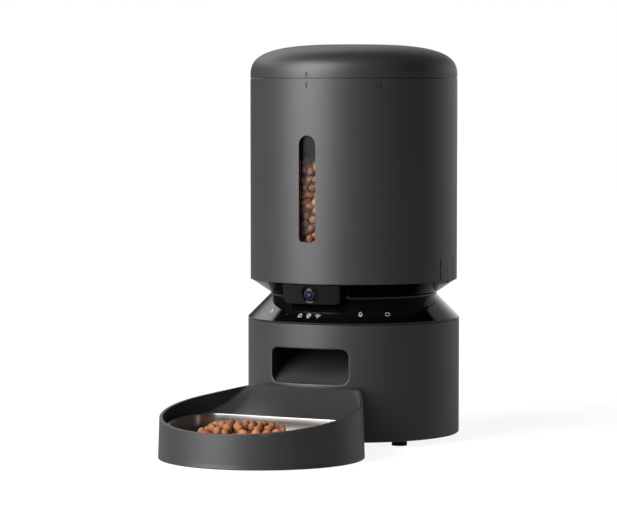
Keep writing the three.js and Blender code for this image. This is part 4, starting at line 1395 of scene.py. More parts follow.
@dataclass
class TraySizes:
    """Plan and slopes of the tray and the bowl in it."""

    axis: Vector
    base_radius: float
    radius: float = 88.2 * MM
    centre: float = 177.8 * MM
    taper: float = 26.8
    wall: float = 4.0 * MM
    bottom: float = 0.5 * MM
    front_height: float = 29.2 * MM
    back_height: float = 54.4 * MM
    shoulder: float = 7.0 * MM
    draft: float = 0.035
    rim_radius: float = 81.5 * MM
    bowl_back: float = 142.5 * MM
    bowl_corner: float = 22.0 * MM
    bowl_tilt: float = 2.5
    bowl_front_height: float = 27.4 * MM
    bowl_wall: float = 1.2 * MM
    bowl_depth: float = 22.0 * MM
    rim_width: float = 3.0 * MM
    gap: float = 0.6 * MM
    chute_straight: float = 0.55
    front_steps: int = 120
    back_steps: int = 24
    bowl_steps: int = 108
    corner_steps: int = 10
    straight_steps: int = 16

    def plan(self, inset: float, back_gap: float) -> Outline:
        """Tray's outline: round front, tapering sides, and a back that follows the base.

        Args:
            inset: How far the front and the sides are moved in.
            back_gap: Gap between the back and the base.

        Returns:
            Points in X and Y.
        """
        radius = self.radius - inset
        back = self.base_radius + back_gap
        lean = math.radians(self.taper)
        side_x, side_y = radius * math.cos(lean), radius * math.sin(lean) - self.centre
        along = (-math.sin(lean), math.cos(lean))
        dot = side_x * along[0] + side_y * along[1]
        run = -dot - math.sqrt(dot**2 - (side_x**2 + side_y**2 - back**2))
        meet = math.degrees(math.atan2(side_y + along[1] * run, side_x + along[0] * run))
        points = arc(0, -self.centre, radius, 180 - self.taper, 360 + self.taper, self.front_steps)
        points += arc(0, 0, back, meet, -180 - meet, self.back_steps)
        return [(x, self.axis.y + y) for x, y in points]

    def bowl_plan(self, radius: float) -> Outline:
        """Bowl's outline: round front and flat back with round corners.

        Args:
            radius: Radius of the front, from which the back's inset follows.

        Returns:
            Points in X and Y.
        """
        shrink = self.rim_radius - radius
        back = -self.bowl_back - shrink
        corner = self.bowl_corner - shrink / 2
        reach = radius - corner
        offset = back - corner + self.centre
        angle = math.degrees(math.asin(offset / reach))
        x = math.sqrt(reach**2 - offset**2)
        straight = self.straight_steps
        points = arc(0, -self.centre, radius, 180 - angle, 360 + angle, self.bowl_steps)
        points += arc(x, back - corner, corner, angle, 90, self.corner_steps)[1:]
        points += [(x - 2 * x * i / straight, back) for i in range(1, straight)]
        points += arc(-x, back - corner, corner, 90, 180 - angle, self.corner_steps)[:-1]
        return [(px, self.axis.y + py) for px, py in points]

    def tip(self) -> Matrix:
        """Find the bowl's slope.

        Returns:
            What turns a shape drawn level at the bowl's rim to that slope.
        """
        front = self.axis.y - self.centre - self.rim_radius
        return (
            Matrix.Translation(Vector((0, front, self.bowl_front_height)))
            @ Matrix.Rotation(math.radians(self.bowl_tilt), 4, "X")
            @ Matrix.Translation(Vector((0, -front, 0)))
        )

    def rim_height(self, y: float) -> float:
        """Height of the tray's rim.

        Args:
            y: The place along Y.

        Returns:
            The height there.
        """
        front = self.axis.y - self.centre - self.radius
        back = self.axis.y - self.base_radius + self.shoulder
        return self.front_height + (y - front) * (self.back_height - self.front_height) / (back - front)

    def ledge_height(self, y: float) -> float:
        """Height of the ledge that the bowl's rim rests on.

        Args:
            y: The place along Y.

        Returns:
            The height there.
        """
        front = self.axis.y - self.centre - self.rim_radius
        drop = self.bowl_wall + self.gap / 2
        return self.bowl_front_height - drop + (y - front) * math.tan(math.radians(self.bowl_tilt))


@dataclass
class Tray:
    """Food tray with a sloping rim, a chute at its back and a well for the bowl."""

    plan: TraySizes
    rim_round: float = 1.7 * MM
    rim_steps: int = 4
    rim_degrees: float = 50.0
    smooth_angle: float = math.radians(40)
    foot_round: float = 0.9 * MM
    foot_steps: int = 5
    wall_steps: int = 12
    hold: float = 0.004
    core_lap: float = 2.0 * MM
    chute_steps: int = 18
    chute_lift: float = 1.0 * MM
    ledge_fillet: float = 1.5 * MM
    chute_fillet: float = 20.0 * MM
    fillet_start: float = 26.0 * MM
    fillet_end: float = 78.0 * MM
    fillet_power: float = 1.5
    fillet_steps: int = 7
    fillet_lap: float = 2.0 * MM
    stations: int = 16
    corner_round: float = 4.5 * MM
    well_rings: tuple[Point, ...] = ((9.0 * MM, 0.0), (4.0 * MM, 3.0 * MM), (0.0, 12.0 * MM))

    def floor_line(self) -> Outline:
        """Draw the ledge and the chute.

        Returns:
            Points in Y and Z, from the front to the tray's back.
        """
        p = self.plan
        start = p.axis.y - p.bowl_back + p.gap
        end = p.axis.y - p.base_radius
        length, height = end - start, p.rim_height(end) + self.chute_lift - p.ledge_height(start)
        front = p.axis.y - p.centre - p.rim_radius - 2 * p.wall
        line = [(front, p.ledge_height(front))]
        for i in range(self.chute_steps + 1):
            share = i / self.chute_steps
            lift = share * (p.chute_straight + (1 - p.chute_straight) * share)
            line.append((start + length * share, p.ledge_height(start) + height * lift))
        return line

    def floor_height(self, line: Outline, y: float) -> float:
        """Height of the ledge or the chute.

        Args:
            line: What floor_line() returned.
            y: The place along Y.

        Returns:
            The height there, on the last stretch's slope beyond the line's end.
        """
        for (y0, z0), (y1, z1) in zip(line, line[1:]):
            if y <= y1:
                return z0 + (z1 - z0) * (y - y0) / (y1 - y0)
        (y0, z0), (y1, z1) = line[-2:]
        return z1 + (z1 - z0) * (y - y1) / (y1 - y0)

    def wall_frame(self, side: int, direction: int) -> tuple[Vector, Vector, Vector]:
        """Find the directions of a side wall.

        Args:
            side: -1 for the left wall, 1 for the right.
            direction: 1 to run towards the base, -1 to run towards the front.

        Returns:
            The round front's centre, the way out through the wall and the way along it.
        """
        p = self.plan
        lean = math.radians(p.taper)
        across = Vector((side * math.cos(lean), math.sin(lean), 0))
        along = Vector((-direction * side * math.sin(lean), direction * math.cos(lean), 0))
        return Vector((0, p.axis.y - p.centre, 0)), across, along

    def block(self) -> Piece:
        """Make the tray's solid block.

        Returns:
            The block, with a round foot and a level top.
        """
        p = self.plan
        low = p.bottom + self.foot_round
        rings = []
        for angle in turns(math.pi / 2, self.foot_steps):
            inset = self.foot_round * (1 - math.sin(angle))
            height = p.bottom + self.foot_round * (1 - math.cos(angle))
            rings.append([Vector((x, y, height)) for x, y in p.plan(inset, p.gap + inset)])
        for i in range(self.wall_steps + 1):
            height = low + (p.back_height - low) * (self.hold if i == 0 else i / self.wall_steps)
            rings.append([Vector((x, y, height)) for x, y in p.plan(p.draft * height, p.gap)])
        return loft("feeding_tray", rings)

    def build(self) -> None:
        """Make the tray and dress it."""
        p = self.plan
        body = self.block()
        top, reach = 2 * p.back_height, p.radius + OVERRUN
        line = self.floor_line()
        hollow = prism("hollow", line + [(line[-1][0], top), (line[0][0], top)], facing_side, -reach, reach)
        core = prism("core", p.plan(p.wall, -self.core_lap), facing_up, 0.0, top)
        boolean(body, [boolean(hollow, [core], "INTERSECT")])
        boolean(body, [self.fillet(side) for side in (-1, 1)], "UNION")
        front, behind = p.axis.y - p.centre - p.radius - OVERRUN, p.axis.y
        back, flat = behind - p.base_radius + p.shoulder, p.back_height + SKIN
        outline = [(front, p.rim_height(front)), (back, flat), (behind, flat), (behind, top), (front, top)]
        above = prism("above", outline, facing_side, -reach, reach)
        base = p.base_radius + p.gap
        column = [(0.0, -OVERRUN), (base, -OVERRUN), (base, top + OVERRUN), (0.0, top + OVERRUN)]
        room = lathe("base_room", column, p.axis)
        boolean(body, [above, self.corner_cut(-1), self.corner_cut(1), room])
        bevel(body, self.rim_round, self.rim_steps, self.rim_degrees)
        boolean(body, [self.well()])
        smooth(body, self.smooth_angle)
        settle(body, SATIN_SHELL, Body.TRAY, "food_tray")

    def fillet(self, side: int) -> Piece:
        """Fillet between the chute and a side wall, which widens up the chute.

        Args:
            side: -1 for the left wall, 1 for the right.

        Returns:
            The fillet, sunk a little into the floor and the wall.
        """
        line, lap = self.floor_line(), self.fillet_lap
        middle, across, along = self.wall_frame(side, 1)
        inner = self.plan.radius - self.plan.wall
        sections = []
        for i in range(self.stations + 1):
            share = i / self.stations
            run = self.fillet_start + (self.fillet_end - self.fillet_start) * share
            r = self.ledge_fillet + (self.chute_fillet - self.ledge_fillet) * share**self.fillet_power
            section = [(r, -lap), (-lap / 2, -lap), (-lap / 2, r)]
            section += [(r * (1 - math.cos(a)), r * (1 - math.sin(a))) for a in turns(math.pi / 2, self.fillet_steps)]
            places = []
            for inset, lift in section:
                place = middle + across * (inner - inset) + along * run
                place.z = self.floor_height(line, place.y) + lift
                places.append(place)
            sections.append(places)
        return loft("fillet", sections)

    def corner_cut(self, side: int) -> Piece:
        """Cutter that rounds the outer upper edge of one side wall where it meets the base.

        Args:
            side: -1 for the left wall, 1 for the right.

        Returns:
            The cutter.
        """
        p = self.plan
        middle, across, along = self.wall_frame(side, -1)
        outer = p.radius - p.draft * p.back_height
        r, top = self.corner_round, p.back_height + OVERRUN
        outline = arc(outer - r, p.back_height - r, r, 0, 90) + [
            (outer - r, top),
            (outer + OVERRUN, top),
            (outer + OVERRUN, p.back_height - r),
        ]

        def beside(u: float, z: float, run: float) -> Vector:
            """Place u out from the round front's centre, z up and run towards the front."""
            return middle + across * u + along * run + Vector((0, 0, z))

        return prism("corner_cut", outline, beside, -p.centre, 0.0)

    def well(self) -> Piece:
        """Make the cutter for the bowl's well.

        Returns:
            The cutter, narrower towards its floor and open above the rim.
        """
        p = self.plan
        deep = p.bowl_depth + p.gap + p.bowl_wall
        rings = []
        for inset, height in [(inset, rise - deep) for inset, rise in self.well_rings] + [(0.0, OVERRUN)]:
            plan = p.bowl_plan(p.rim_radius - p.rim_width + p.gap - inset)
            rings.append([p.tip() @ Vector((x, y, height)) for x, y in plan])
        return loft("well_cut", rings)


@dataclass
class Bowl:
    """Stamped stainless bowl with a rolled rim and a flat back edge."""

    plan: TraySizes
    lean: float = 9.0 * MM
    rise: float = 16.0 * MM
    roll: float = 0.4 * MM
    roll_steps: int = 6
    shoulder: float = 0.5 * MM
    shoulder_steps: int = 4
    round_steps: int = 12
    smooth_angle: float = math.radians(50)

    def cup(self, inset: float, depth: float) -> Outline:
        """Draw the bowl's wall.

        Args:
            inset: How far in from the rim it starts.
            depth: Depth of the floor under the rim.

        Returns:
            Inset and height pairs from the rim's shoulder down to the floor's edge.
        """
        return [
            (inset + self.lean * (1 - math.cos(a)), self.rise - depth - self.rise * math.sin(a))
            for a in turns(math.pi / 2, self.round_steps)
        ]

    def build(self) -> None:
        """Make the bowl and dress it."""
        p, roll, shoulder = self.plan, self.roll, self.shoulder
        inner = p.rim_width + p.bowl_wall
        inside = [(roll * (1 - math.sin(a)), -roll - roll * math.cos(a)) for a in turns(math.pi, self.roll_steps)]
        inside += [
            (inner - shoulder + shoulder * math.sin(a), -shoulder + shoulder * math.cos(a))
            for a in turns(math.pi / 2, self.shoulder_steps)
        ]
        outside = [inside[0], (p.rim_width, -p.bowl_wall)] + self.cup(p.rim_width, p.bowl_depth)
        inside += self.cup(inner, p.bowl_depth - p.bowl_wall)
        work = bmesh.new()
        floors = [self.shell(work, pairs) for pairs in (inside, outside)]
        for floor in floors:
            self.close_floor(work, floor)
        bowl = closed_object("feeding_bowl", work)
        bowl.data.transform(p.tip())
        smooth(bowl, self.smooth_angle)
        settle(bowl, BOWL_STEEL, Body.BOWL, "steel_bowl")

    def shell(self, work: bmesh.types.BMesh, pairs: Outline) -> list[Vert]:
        """Add one side of the bowl's sheet.

        Args:
            work: The mesh being edited.
            pairs: Inset from the rim and height of each ring.

        Returns:
            The last ring's vertices.
        """
        rings = []
        for inset, height in pairs:
            plan = self.plan.bowl_plan(self.plan.rim_radius - inset)
            rings.append([work.verts.new(Vector((x, y, height))) for x, y in plan])
        bridge(work, rings)
        return rings[-1]

    def close_floor(self, work: bmesh.types.BMesh, loop: list[Vert]) -> None:
        """Close the floor with a fan of even triangles.

        Args:
            work: The mesh being edited.
            loop: The floor's edge.
        """
        centre = work.verts.new(sum((vert.co for vert in loop), Vector()) / len(loop))
        for vert, after in zip(loop, loop[1:] + loop[:1]):
            work.faces.new((vert, after, centre))


# Food, strewn by Geometry Nodes

PEBBLES_PER_AREA = 4.0e5
PEBBLE_LUMPS = 3.4 * MM
SLIM_PEBBLE = (0.9, 0.82, 0.58)
STOUT_PEBBLE = (1.12, 1.0, 0.8)
FULL_TURN = (2 * math.pi, 2 * math.pi, 2 * math.pi)
TONE_SHARE = 0.72
KIBBLE_TONES = ((0.0, "#824e31"), (0.4, "#9a5e3a"), (0.75, "#ae7048"), (1.0, "#c4915a"))


def copies_tree() -> bpy.types.NodeTree:
    """Geometry Nodes that strew pebbles of baked food over a surface.

    Returns:
        The tree, with named inputs for spacing, size, dents, seed and material.
    """
    found = bpy.data.node_groups.get("strewn_kibble")
    if found is not None:
        return found
    tree = bpy.data.node_groups.new("strewn_kibble", "GeometryNodeTree")
    ports = (
        ("Geometry", "NodeSocketGeometry"),
        ("Spacing", "NodeSocketFloat"),
        ("Size", "NodeSocketFloat"),
        ("Dents", "NodeSocketFloat"),
        ("Seed", "NodeSocketInt"),
        ("Material", "NodeSocketMaterial"),
    )
    for name, kind in ports:
        tree.interface.new_socket(name, in_out="INPUT", socket_type=kind)
    tree.interface.new_socket("Geometry", in_out="OUTPUT", socket_type="NodeSocketGeometry")
    given = add_node(tree, "NodeGroupInput", {}, {}).outputs
    points = add_node(
        tree,
        "GeometryNodeDistributePointsOnFaces",
        {"distribute_method": "POISSON"},
        {
            "Mesh": given["Geometry"],
            "Distance Min": given["Spacing"],
            "Density Max": PEBBLES_PER_AREA,
            "Density Factor": 1.0,
            "Seed": given["Seed"],
        },
    )
    pebble = add_node(tree, "GeometryNodeMeshIcoSphere", {}, {"Radius": 0.5, "Subdivisions": 2})
    turn, spread = (
        add_node(
            tree,
            "FunctionNodeRandomValue",
            {"data_type": "FLOAT_VECTOR"},
            {0: least, 1: most, "Seed": given["Seed"]},
        ).outputs[0]
        for least, most in (((0.0, 0.0, 0.0), FULL_TURN), (SLIM_PEBBLE, STOUT_PEBBLE))
    )
    sized = add_node(tree, "ShaderNodeVectorMath", {"operation": "SCALE"}, {0: spread, "Scale": given["Size"]})
    copies = add_node(
        tree,
        "GeometryNodeInstanceOnPoints",
        {},
        {
            "Points": points.outputs["Points"],
            "Instance": pebble.outputs["Mesh"],
            "Rotation": turn,
            "Scale": sized.outputs[0],
        },
    )
    tone = add_node(tree, "FunctionNodeRandomValue", {"data_type": "FLOAT"}, {2: 0.0, 3: 1.0, "Seed": given["Seed"]})
    toned = add_node(
        tree,
        "GeometryNodeStoreNamedAttribute",
        {"data_type": "FLOAT", "domain": "INSTANCE"},
        {"Geometry": copies.outputs["Instances"], "Name": TONE_ATTRIBUTE, "Value": tone.outputs[1]},
    )
    real = add_node(tree, "GeometryNodeRealizeInstances", {}, {"Geometry": toned.outputs[0]})
    place = add_node(tree, "GeometryNodeInputPosition", {}, {})
    waves = {"Vector": place.outputs[0], "Scale": 1 / PEBBLE_LUMPS, "Detail": 1.0}
    lumps = add_node(tree, "ShaderNodeTexNoise", {}, waves)
    about_zero = {0: lumps.outputs["Color"], 1: (0.5, 0.5, 0.5)}
    centred = add_node(tree, "ShaderNodeVectorMath", {"operation": "SUBTRACT"}, about_zero)
    push = {0: centred.outputs[0], "Scale": given["Dents"]}
    pushed = add_node(tree, "ShaderNodeVectorMath", {"operation": "SCALE"}, push)
    dents = {"Geometry": real.outputs[0], "Offset": pushed.outputs[0]}
    dented = add_node(tree, "GeometryNodeSetPosition", {}, dents)
    softened = add_node(tree, "GeometryNodeSetShadeSmooth", {}, {"Geometry": dented.outputs[0]})
    dress = {"Geometry": softened.outputs[0], "Material": given["Material"]}
    dressed = add_node(tree, "GeometryNodeSetMaterial", {}, dress)
    add_node(tree, "NodeGroupOutput", {}, {"Geometry": dressed.outputs[0]})
    return tree


def run_tree(piece: Piece, tree: bpy.types.NodeTree, values: dict[str, Any]) -> Piece:
    """Put a piece's mesh through a Geometry Nodes tree and keep the plain result.

    Args:
        piece: The object that gives the tree its mesh.
        tree: The tree.
        values: The tree's inputs, by name.

    Returns:
        The same object with the new mesh.
    """
    change = piece.modifiers.new("nodes", "NODES")
    change.node_group = tree
    for item in tree.interface.items_tree:
        if item.item_type == "SOCKET" and item.in_out == "INPUT" and item.name in values:
            change[item.identifier] = values[item.name]
    bake_modifiers(piece)
    return piece


def patch(name: str, place: Callable[[float, float], Vector], grid: tuple[int, int]) -> Piece:
    """Open grid of faces over a unit square mapped to places.

    Args:
        name: The new object's name.
        place: Turns two shares from 0 to 1 into a place.
        grid: Faces one way and the other.

    Returns:
        The surface as an object.
    """
    across, along = grid
    work = bmesh.new()
    verts = [[work.verts.new(place(i / across, j / along)) for j in range(along + 1)] for i in range(across + 1)]
    for this, after in zip(verts, verts[1:]):
        for j in range(along):
            work.faces.new((this[j], after[j], after[j + 1], this[j + 1]))
    return plain_object(name, work)


def merge(name: str, parts: Sequence[Piece]) -> Piece:
    """Join objects at the origin into one.

    Args:
        name: The new object's name.
        parts: The objects, which are deleted.

    Returns:
        The new object, without a material.
    """
    work = bmesh.new()
    for part in parts:
        work.from_mesh(part.data)
        bpy.data.objects.remove(part)
    return plain_object(name, work)


def kibble_material() -> bpy.types.Material:
    """Baked, extruded food: matt, and each pebble has its own shade of brown.

    Returns:
        The material that KIBBLE.material() also returns, with the shades added once.
    """
    found = bpy.data.materials.get(KIBBLE.name)
    if found is not None:
        return found
    made = KIBBLE.material()
    tree = made.node_tree
    shader = next(node for node in tree.nodes if node.type == "BSDF_PRINCIPLED")
    tone = add_node(tree, "ShaderNodeAttribute", {"attribute_name": TONE_ATTRIBUTE}, {})
    ramp = add_node(tree, "ShaderNodeValToRGB", {}, {"Fac": tone.outputs["Fac"]})
    set_stops(ramp.color_ramp, KIBBLE_TONES)
    base = shader.inputs["Base Color"].links[0].from_socket
    colours = {0: TONE_SHARE, 6: base, 7: ramp.outputs["Color"]}
    mixed = add_node(tree, "ShaderNodeMix", {"data_type": "RGBA", "blend_type": "MIX"}, colours)
    tree.links.new(mixed.outputs[2], shader.inputs["Base Color"])
    return made


@dataclass
class Food:
    """Kibble behind the level window, on top of the fill and heaped in the bowl."""

    sizes: TowerSizes
    kibble: float = 7.4 * MM
    spacing: float = 6.2 * MM
    spacing_power: float = 1.5
    dents: float = 1.0 * MM
    fill_top: float = 247.0 * MM
    fill_bottom: float = 178.0 * MM
    half_view: float = 11.0
    layers: tuple[float, ...] = (82.0 * MM, 76.0 * MM)
    pane_grid: tuple[int, int] = (24, 24)
    pane_seed: int = 11
    bed_radius: float = 82.0 * MM
    round_grid: tuple[int, int] = (10, 48)
    first_ring: float = 0.02
    bed_seed: int = 23
    heap_centre: Point = (-9.0 * MM, -191.0 * MM)
    heap_half: Point = (51.0 * MM, 35.0 * MM)
    heap_height: float = 17.5 * MM
    heap_floor: float = 11.5 * MM
    heap_power: float = 3.5
    heap_layers: tuple[float, ...] = (1.0, 0.5, 0.0)
    heap_seed: int = 31
    heap_scale: float = 1.24

    def strew(self, surface: Piece, seed: int, size: float) -> Piece:
        """Cover a surface with kibble.

        Args:
            surface: The open surface, which is used up.
            seed: Seed of the places, turns, sizes and shades.
            size: Mean length of a pebble.

        Returns:
            The pebbles, in the surface's object.
        """
        values = {
            "Spacing": self.spacing * (size / self.kibble) ** self.spacing_power,
            "Size": size,
            "Dents": self.dents,
            "Seed": seed,
            "Material": kibble_material(),
        }
        return run_tree(surface, copies_tree(), values)

    def behind_pane(self, radius: float) -> Piece:
        """Upright patch behind the window.

        Args:
            radius: Distance from the hopper's axis.

        Returns:
            The patch.
        """

        def place(a: float, b: float) -> Vector:
            """Place on the patch."""
            angle = math.radians(self.half_view) * (2 * a - 1)
            height = self.fill_bottom + (self.fill_top - self.fill_bottom) * b
            return self.sizes.axis + Vector((radius * math.sin(angle), -radius * math.cos(angle), height))

        return patch("behind_pane", place, self.pane_grid)

    def bed(self) -> Piece:
        """Level patch on top of the fill.

        Returns:
            The patch.
        """

        def place(a: float, b: float) -> Vector:
            """Place on the patch, in rings."""
            angle, radius = 2 * math.pi * b, self.bed_radius * max(a, self.first_ring)
            return self.sizes.axis + Vector((radius * math.sin(angle), -radius * math.cos(angle), self.fill_top))

        return patch("fill_top", place, self.round_grid)

    def heap(self, share: float) -> Piece:
        """Domed patch in the bowl.

        Args:
            share: Height of the dome, as a share of the full heap's.

        Returns:
            The patch.
        """
        cx, cy = self.heap_centre[0], self.sizes.axis.y + self.heap_centre[1]
        half_x, half_y = self.heap_half

        def place(a: float, b: float) -> Vector:
            """Place on the dome, in rings."""
            angle, reach = 2 * math.pi * b, max(a, self.first_ring)
            height = self.heap_floor + self.heap_height * share * (1 - reach**self.heap_power)
            return Vector((cx + half_x * reach * math.sin(angle), cy - half_y * reach * math.cos(angle), height))

        return patch("heap_surface", place, self.round_grid)

    def build(self) -> None:
        """Make the food in the hopper and the bowl."""
        inside = [
            self.strew(self.behind_pane(radius), self.pane_seed + i, self.kibble)
            for i, radius in enumerate(self.layers)
        ]
        inside.append(self.strew(self.bed(), self.bed_seed, self.kibble))
        served = [
            self.strew(self.heap(share), self.heap_seed + i, self.kibble * self.heap_scale)
            for i, share in enumerate(self.heap_layers)
        ]
        for name, parts, body in (("hopper_kibble", inside, Body.TANK), ("bowl_kibble", served, Body.BOWL)):
            piece = merge(name, parts)
            smooth(piece, math.radians(180))
            settle(piece, KIBBLE, body)


# Small parts kept from the model


@dataclass
class KeptParts:
    """Model nodes whose shape is right: they stay and get their finishes."""

    nodes: dict[str, Piece]
    record: dict[str, Any]
    finishes: tuple[Finish, ...] = (
        SATIN_SHELL,
        GLOSS_RING,
        POD_SKIN,
        INNER_SKIN,
        CLEAR_PANE,
        SILICONE,
        RUBBER,
        TURNED_STEEL,
        SPRING_STRIP,
        ACETAL,
        SOLDER_MASK,
        SACHET,
        LENS_GLASS,
    )

    def build(self) -> None:
        """Give each node the finish of its slot."""
        by_slot = {finish.slot: finish for finish in self.finishes}
        slots = {part["node"]: part["material_slot"] for part in self.record["subparts"]}
        for name, node in self.nodes.items():
            material = by_slot[slots[name]].material()
            if not node.data.materials:
                node.data.materials.append(material)
            for slot in node.material_slots:
                slot.material = material
            LOG.info("%s keeps its shape, finish %s", name, material.name)


# Studio


@dataclass(frozen=True)
class SoftBox:
    """Area lamp aimed at a point: where it stands, its size and its power."""

    name: str
    azimuth: float
    elevation: float
    distance: float
    width: float
    height: float
    power: float
    target: tuple[float, float, float] = (0.0, 0.0, 0.2)

    def build(self) -> None:
        """Hang the lamp."""
        lamp = bpy.data.lights.new(self.name, "AREA")
        lamp.shape = "RECTANGLE"
        lamp.size, lamp.size_y, lamp.energy = self.width, self.height, self.power
        turn, rise = math.radians(self.azimuth), math.radians(self.elevation)
        away = Vector((math.sin(turn) * math.cos(rise), -math.cos(turn) * math.cos(rise), math.sin(rise)))
        made = bpy.data.objects.new(self.name, lamp)
        made.location = Vector(self.target) + away * self.distance
        made.rotation_euler = away.to_track_quat("Z", "Y").to_euler()
        bpy.context.scene.collection.objects.link(made)


@dataclass(frozen=True)
class SoftStep:
    """Soft step of a level of light: where it starts and ends, and the level at each end."""

    start: float
    end: float
    first: float = 0.0
    last: float = 1.0

    def limits(self) -> dict[str, float]:
        """The step as the four limits of a Map Range node."""
        return {"From Min": self.start, "From Max": self.end, "To Min": self.first, "To Max": self.last}


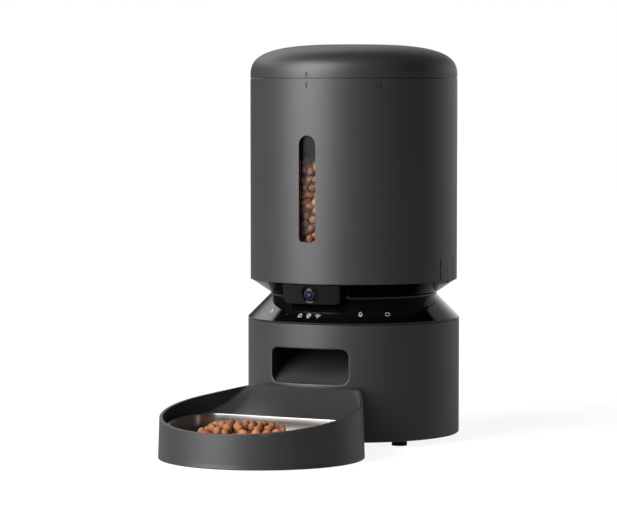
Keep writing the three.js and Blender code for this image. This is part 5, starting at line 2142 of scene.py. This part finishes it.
@dataclass
class Studio:
    """Pale floor, white backdrop, soft boxes and the camera at the photograph's angle."""

    sizes: TowerSizes
    camera_azimuth: float = 26.2
    camera_distance: float = 2.753
    camera_yaw: float = 0.848
    camera_pitch: float = 3.488
    lens: float = 178.57
    sensor: float = 36.0
    clip: tuple[float, float] = (0.1, 50.0)
    floor_half: float = 6.0
    floor_glow: SoftStep = SoftStep(0.5, 1.5, 0.9)
    floor_in_gloss: float = 0.3
    floor_colour: str = "#8c8c8c"
    ambient: float = 0.12
    walls_top: SoftStep = SoftStep(0.66, 0.6)
    walls_behind: SoftStep = SoftStep(0.0, 0.5)
    left_wall: SoftStep = SoftStep(0.16, 0.6, 0.1, 2.3)
    right_wall: SoftStep = SoftStep(0.1, 0.5, 1.1, 0.35)
    wall_seam: SoftStep = SoftStep(-0.1, 0.1)
    boxes: tuple[SoftBox, ...] = (SoftBox("front_box", -26.0, 27.0, 1.8, 1.5, 2.1, 74.0),)

    def build(self) -> None:
        """Set up the whole studio."""
        self.build_camera()
        self.build_floor()
        self.build_world()
        for box in self.boxes:
            box.build()
        bpy.context.scene.view_settings.view_transform = "Standard"

    def build_camera(self) -> None:
        """Place the camera that the photograph was matched with."""
        turn = math.radians(self.camera_azimuth)
        aim = Vector((-math.sin(turn), math.cos(turn), 0))
        right = Vector((math.cos(turn), math.sin(turn), 0))
        yaw, pitch = math.radians(self.camera_yaw), math.radians(self.camera_pitch)
        level = aim * math.cos(yaw) - right * math.sin(yaw)
        forward = level * math.cos(pitch) - Vector((0, 0, math.sin(pitch)))
        lens = bpy.data.cameras.new("photo_camera")
        lens.sensor_fit = "HORIZONTAL"
        lens.sensor_width, lens.lens = self.sensor, self.lens
        lens.clip_start, lens.clip_end = self.clip
        camera = bpy.data.objects.new("photo_camera", lens)
        camera.location = self.sizes.axis - aim * self.camera_distance + Vector((0, 0, self.sizes.seam))
        camera.rotation_euler = (-forward).to_track_quat("Z", "Y").to_euler()
        bpy.context.scene.collection.objects.link(camera)
        bpy.context.scene.camera = camera

    def build_floor(self) -> None:
        """Lay the floor, which shows white to the camera and keeps the feeder's shadow."""
        half = self.floor_half
        work = bmesh.new()
        corners = ((-half, -half), (half, -half), (half, half), (-half, half))
        work.faces.new([work.verts.new((x, y, 0.0)) for x, y in corners])
        floor = plain_object("studio_floor", work)
        floor.data.materials.append(self.floor_paint())

    def floor_paint(self) -> bpy.types.Material:
        """Build the floor's grey paint, which glows for rays that show the surroundings as they look.

        Returns:
            The material.
        """
        # Matt emulsion on a smooth board: no highlight, only the soft shadow of what stands on it.
        material = bpy.data.materials.new("painted_floor")
        tree = empty_tree(material)
        coords = add_node(tree, "ShaderNodeTexCoord", {}, {})
        away = add_node(tree, "ShaderNodeVectorMath", {"operation": "LENGTH"}, {0: coords.outputs["Object"]})
        rise = {"Value": away.outputs["Value"], **self.floor_glow.limits()}
        strength = add_node(tree, "ShaderNodeMapRange", {"interpolation_type": "SMOOTHSTEP"}, rise)
        path = add_node(tree, "ShaderNodeLightPath", {}, {}).outputs
        dimming = {0: path["Is Glossy Ray"], 2: 1.0, 3: self.floor_in_gloss}
        share = add_node(tree, "ShaderNodeMix", {"data_type": "FLOAT"}, dimming)
        factors = {0: strength.outputs["Result"], 1: share.outputs[0]}
        level = add_node(tree, "ShaderNodeMath", {"operation": "MULTIPLY"}, factors)
        paint = add_node(tree, "ShaderNodeBsdfDiffuse", {}, {"Color": srgb(self.floor_colour)})
        glow = add_node(tree, "ShaderNodeEmission", {}, {"Strength": level.outputs[0]})
        seen = add_node(tree, "ShaderNodeAddShader", {}, {0: paint.outputs[0], 1: glow.outputs[0]})
        direct = path["Is Camera Ray"]
        for kind in ("Is Glossy Ray", "Is Transmission Ray"):
            direct = add_node(tree, "ShaderNodeMath", {"operation": "MAXIMUM"}, {0: direct, 1: path[kind]}).outputs[0]
        choice = add_node(tree, "ShaderNodeMixShader", {}, {0: direct, 1: paint.outputs[0], 2: seen.outputs[0]})
        add_node(tree, "ShaderNodeOutputMaterial", {}, {"Surface": choice.outputs[0]})
        return material

    def build_world(self) -> None:
        """White all round for the camera; in reflections pale walls behind, dark above and in front."""
        world = bpy.data.worlds.new("studio_world")
        tree = empty_tree(world)
        way = add_node(tree, "ShaderNodeTexCoord", {}, {}).outputs["Generated"]
        height = add_node(tree, "ShaderNodeSeparateXYZ", {}, {0: way}).outputs["Z"]
        turn = math.radians(self.camera_azimuth)
        behind, rightward = (
            add_node(tree, "ShaderNodeVectorMath", {"operation": "DOT_PRODUCT"}, {0: way, 1: along}).outputs["Value"]
            for along in ((-math.sin(turn), math.cos(turn), 0), (math.cos(turn), math.sin(turn), 0))
        )
        low, back, left, right, side = (
            add_node(
                tree,
                "ShaderNodeMapRange",
                {"interpolation_type": "SMOOTHSTEP"},
                {"Value": value, **step.limits()},
            ).outputs["Result"]
            for value, step in (
                (height, self.walls_top),
                (behind, self.walls_behind),
                (height, self.left_wall),
                (height, self.right_wall),
                (rightward, self.wall_seam),
            )
        )
        walls = add_node(tree, "ShaderNodeMix", {"data_type": "FLOAT"}, {0: side, 2: left, 3: right})
        where = add_node(tree, "ShaderNodeMath", {"operation": "MULTIPLY"}, {0: low, 1: back})
        lit = add_node(tree, "ShaderNodeMath", {"operation": "MULTIPLY"}, {0: walls.outputs[0], 1: where.outputs[0]})
        path = add_node(tree, "ShaderNodeLightPath", {}, {}).outputs
        reflected = {0: path["Is Glossy Ray"], 2: self.ambient, 3: lit.outputs[0]}
        glossy = add_node(tree, "ShaderNodeMix", {"data_type": "FLOAT"}, reflected)
        direct = {0: path["Is Camera Ray"], 1: path["Is Transmission Ray"]}
        seen = add_node(tree, "ShaderNodeMath", {"operation": "MAXIMUM"}, direct)
        levels = {0: seen.outputs[0], 2: glossy.outputs[0], 3: 1.0}
        level = add_node(tree, "ShaderNodeMix", {"data_type": "FLOAT"}, levels)
        white = {"Color": (1.0, 1.0, 1.0, 1.0), "Strength": level.outputs[0]}
        sky = add_node(tree, "ShaderNodeBackground", {}, white)
        add_node(tree, "ShaderNodeOutputWorld", {}, {"Surface": sky.outputs[0]})
        bpy.context.scene.world = world


def main(frame: dict[str, Any]) -> None:
    """Dress the loaded model and set up the studio.
    """
    logging.basicConfig(level=logging.INFO, format="%(name)s: %(message)s")
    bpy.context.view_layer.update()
    sizes = TowerSizes.from_frame()
    plan = TraySizes(sizes.axis, sizes.base_radius)
    marks = Marks(sizes)
    Studio(sizes).build()
    KeptParts(frame["nodes"], frame["record"]).build()
    Lid(sizes, marks).build()
    Tank(sizes, marks).build()
    CameraPod(sizes, PodShape(sizes)).build()
    Base(sizes).build()
    SignPrinter(sizes).build()
    Tray(plan).build()
    Bowl(plan).build()
    Food(sizes).build()


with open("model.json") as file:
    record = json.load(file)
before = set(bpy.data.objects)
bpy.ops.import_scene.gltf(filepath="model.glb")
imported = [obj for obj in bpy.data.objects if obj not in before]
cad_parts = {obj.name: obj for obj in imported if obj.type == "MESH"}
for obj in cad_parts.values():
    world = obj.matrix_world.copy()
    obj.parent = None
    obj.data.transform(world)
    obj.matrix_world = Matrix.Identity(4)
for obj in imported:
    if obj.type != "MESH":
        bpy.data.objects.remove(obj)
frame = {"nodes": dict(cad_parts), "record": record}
if __name__ == "__main__":
    main(frame)
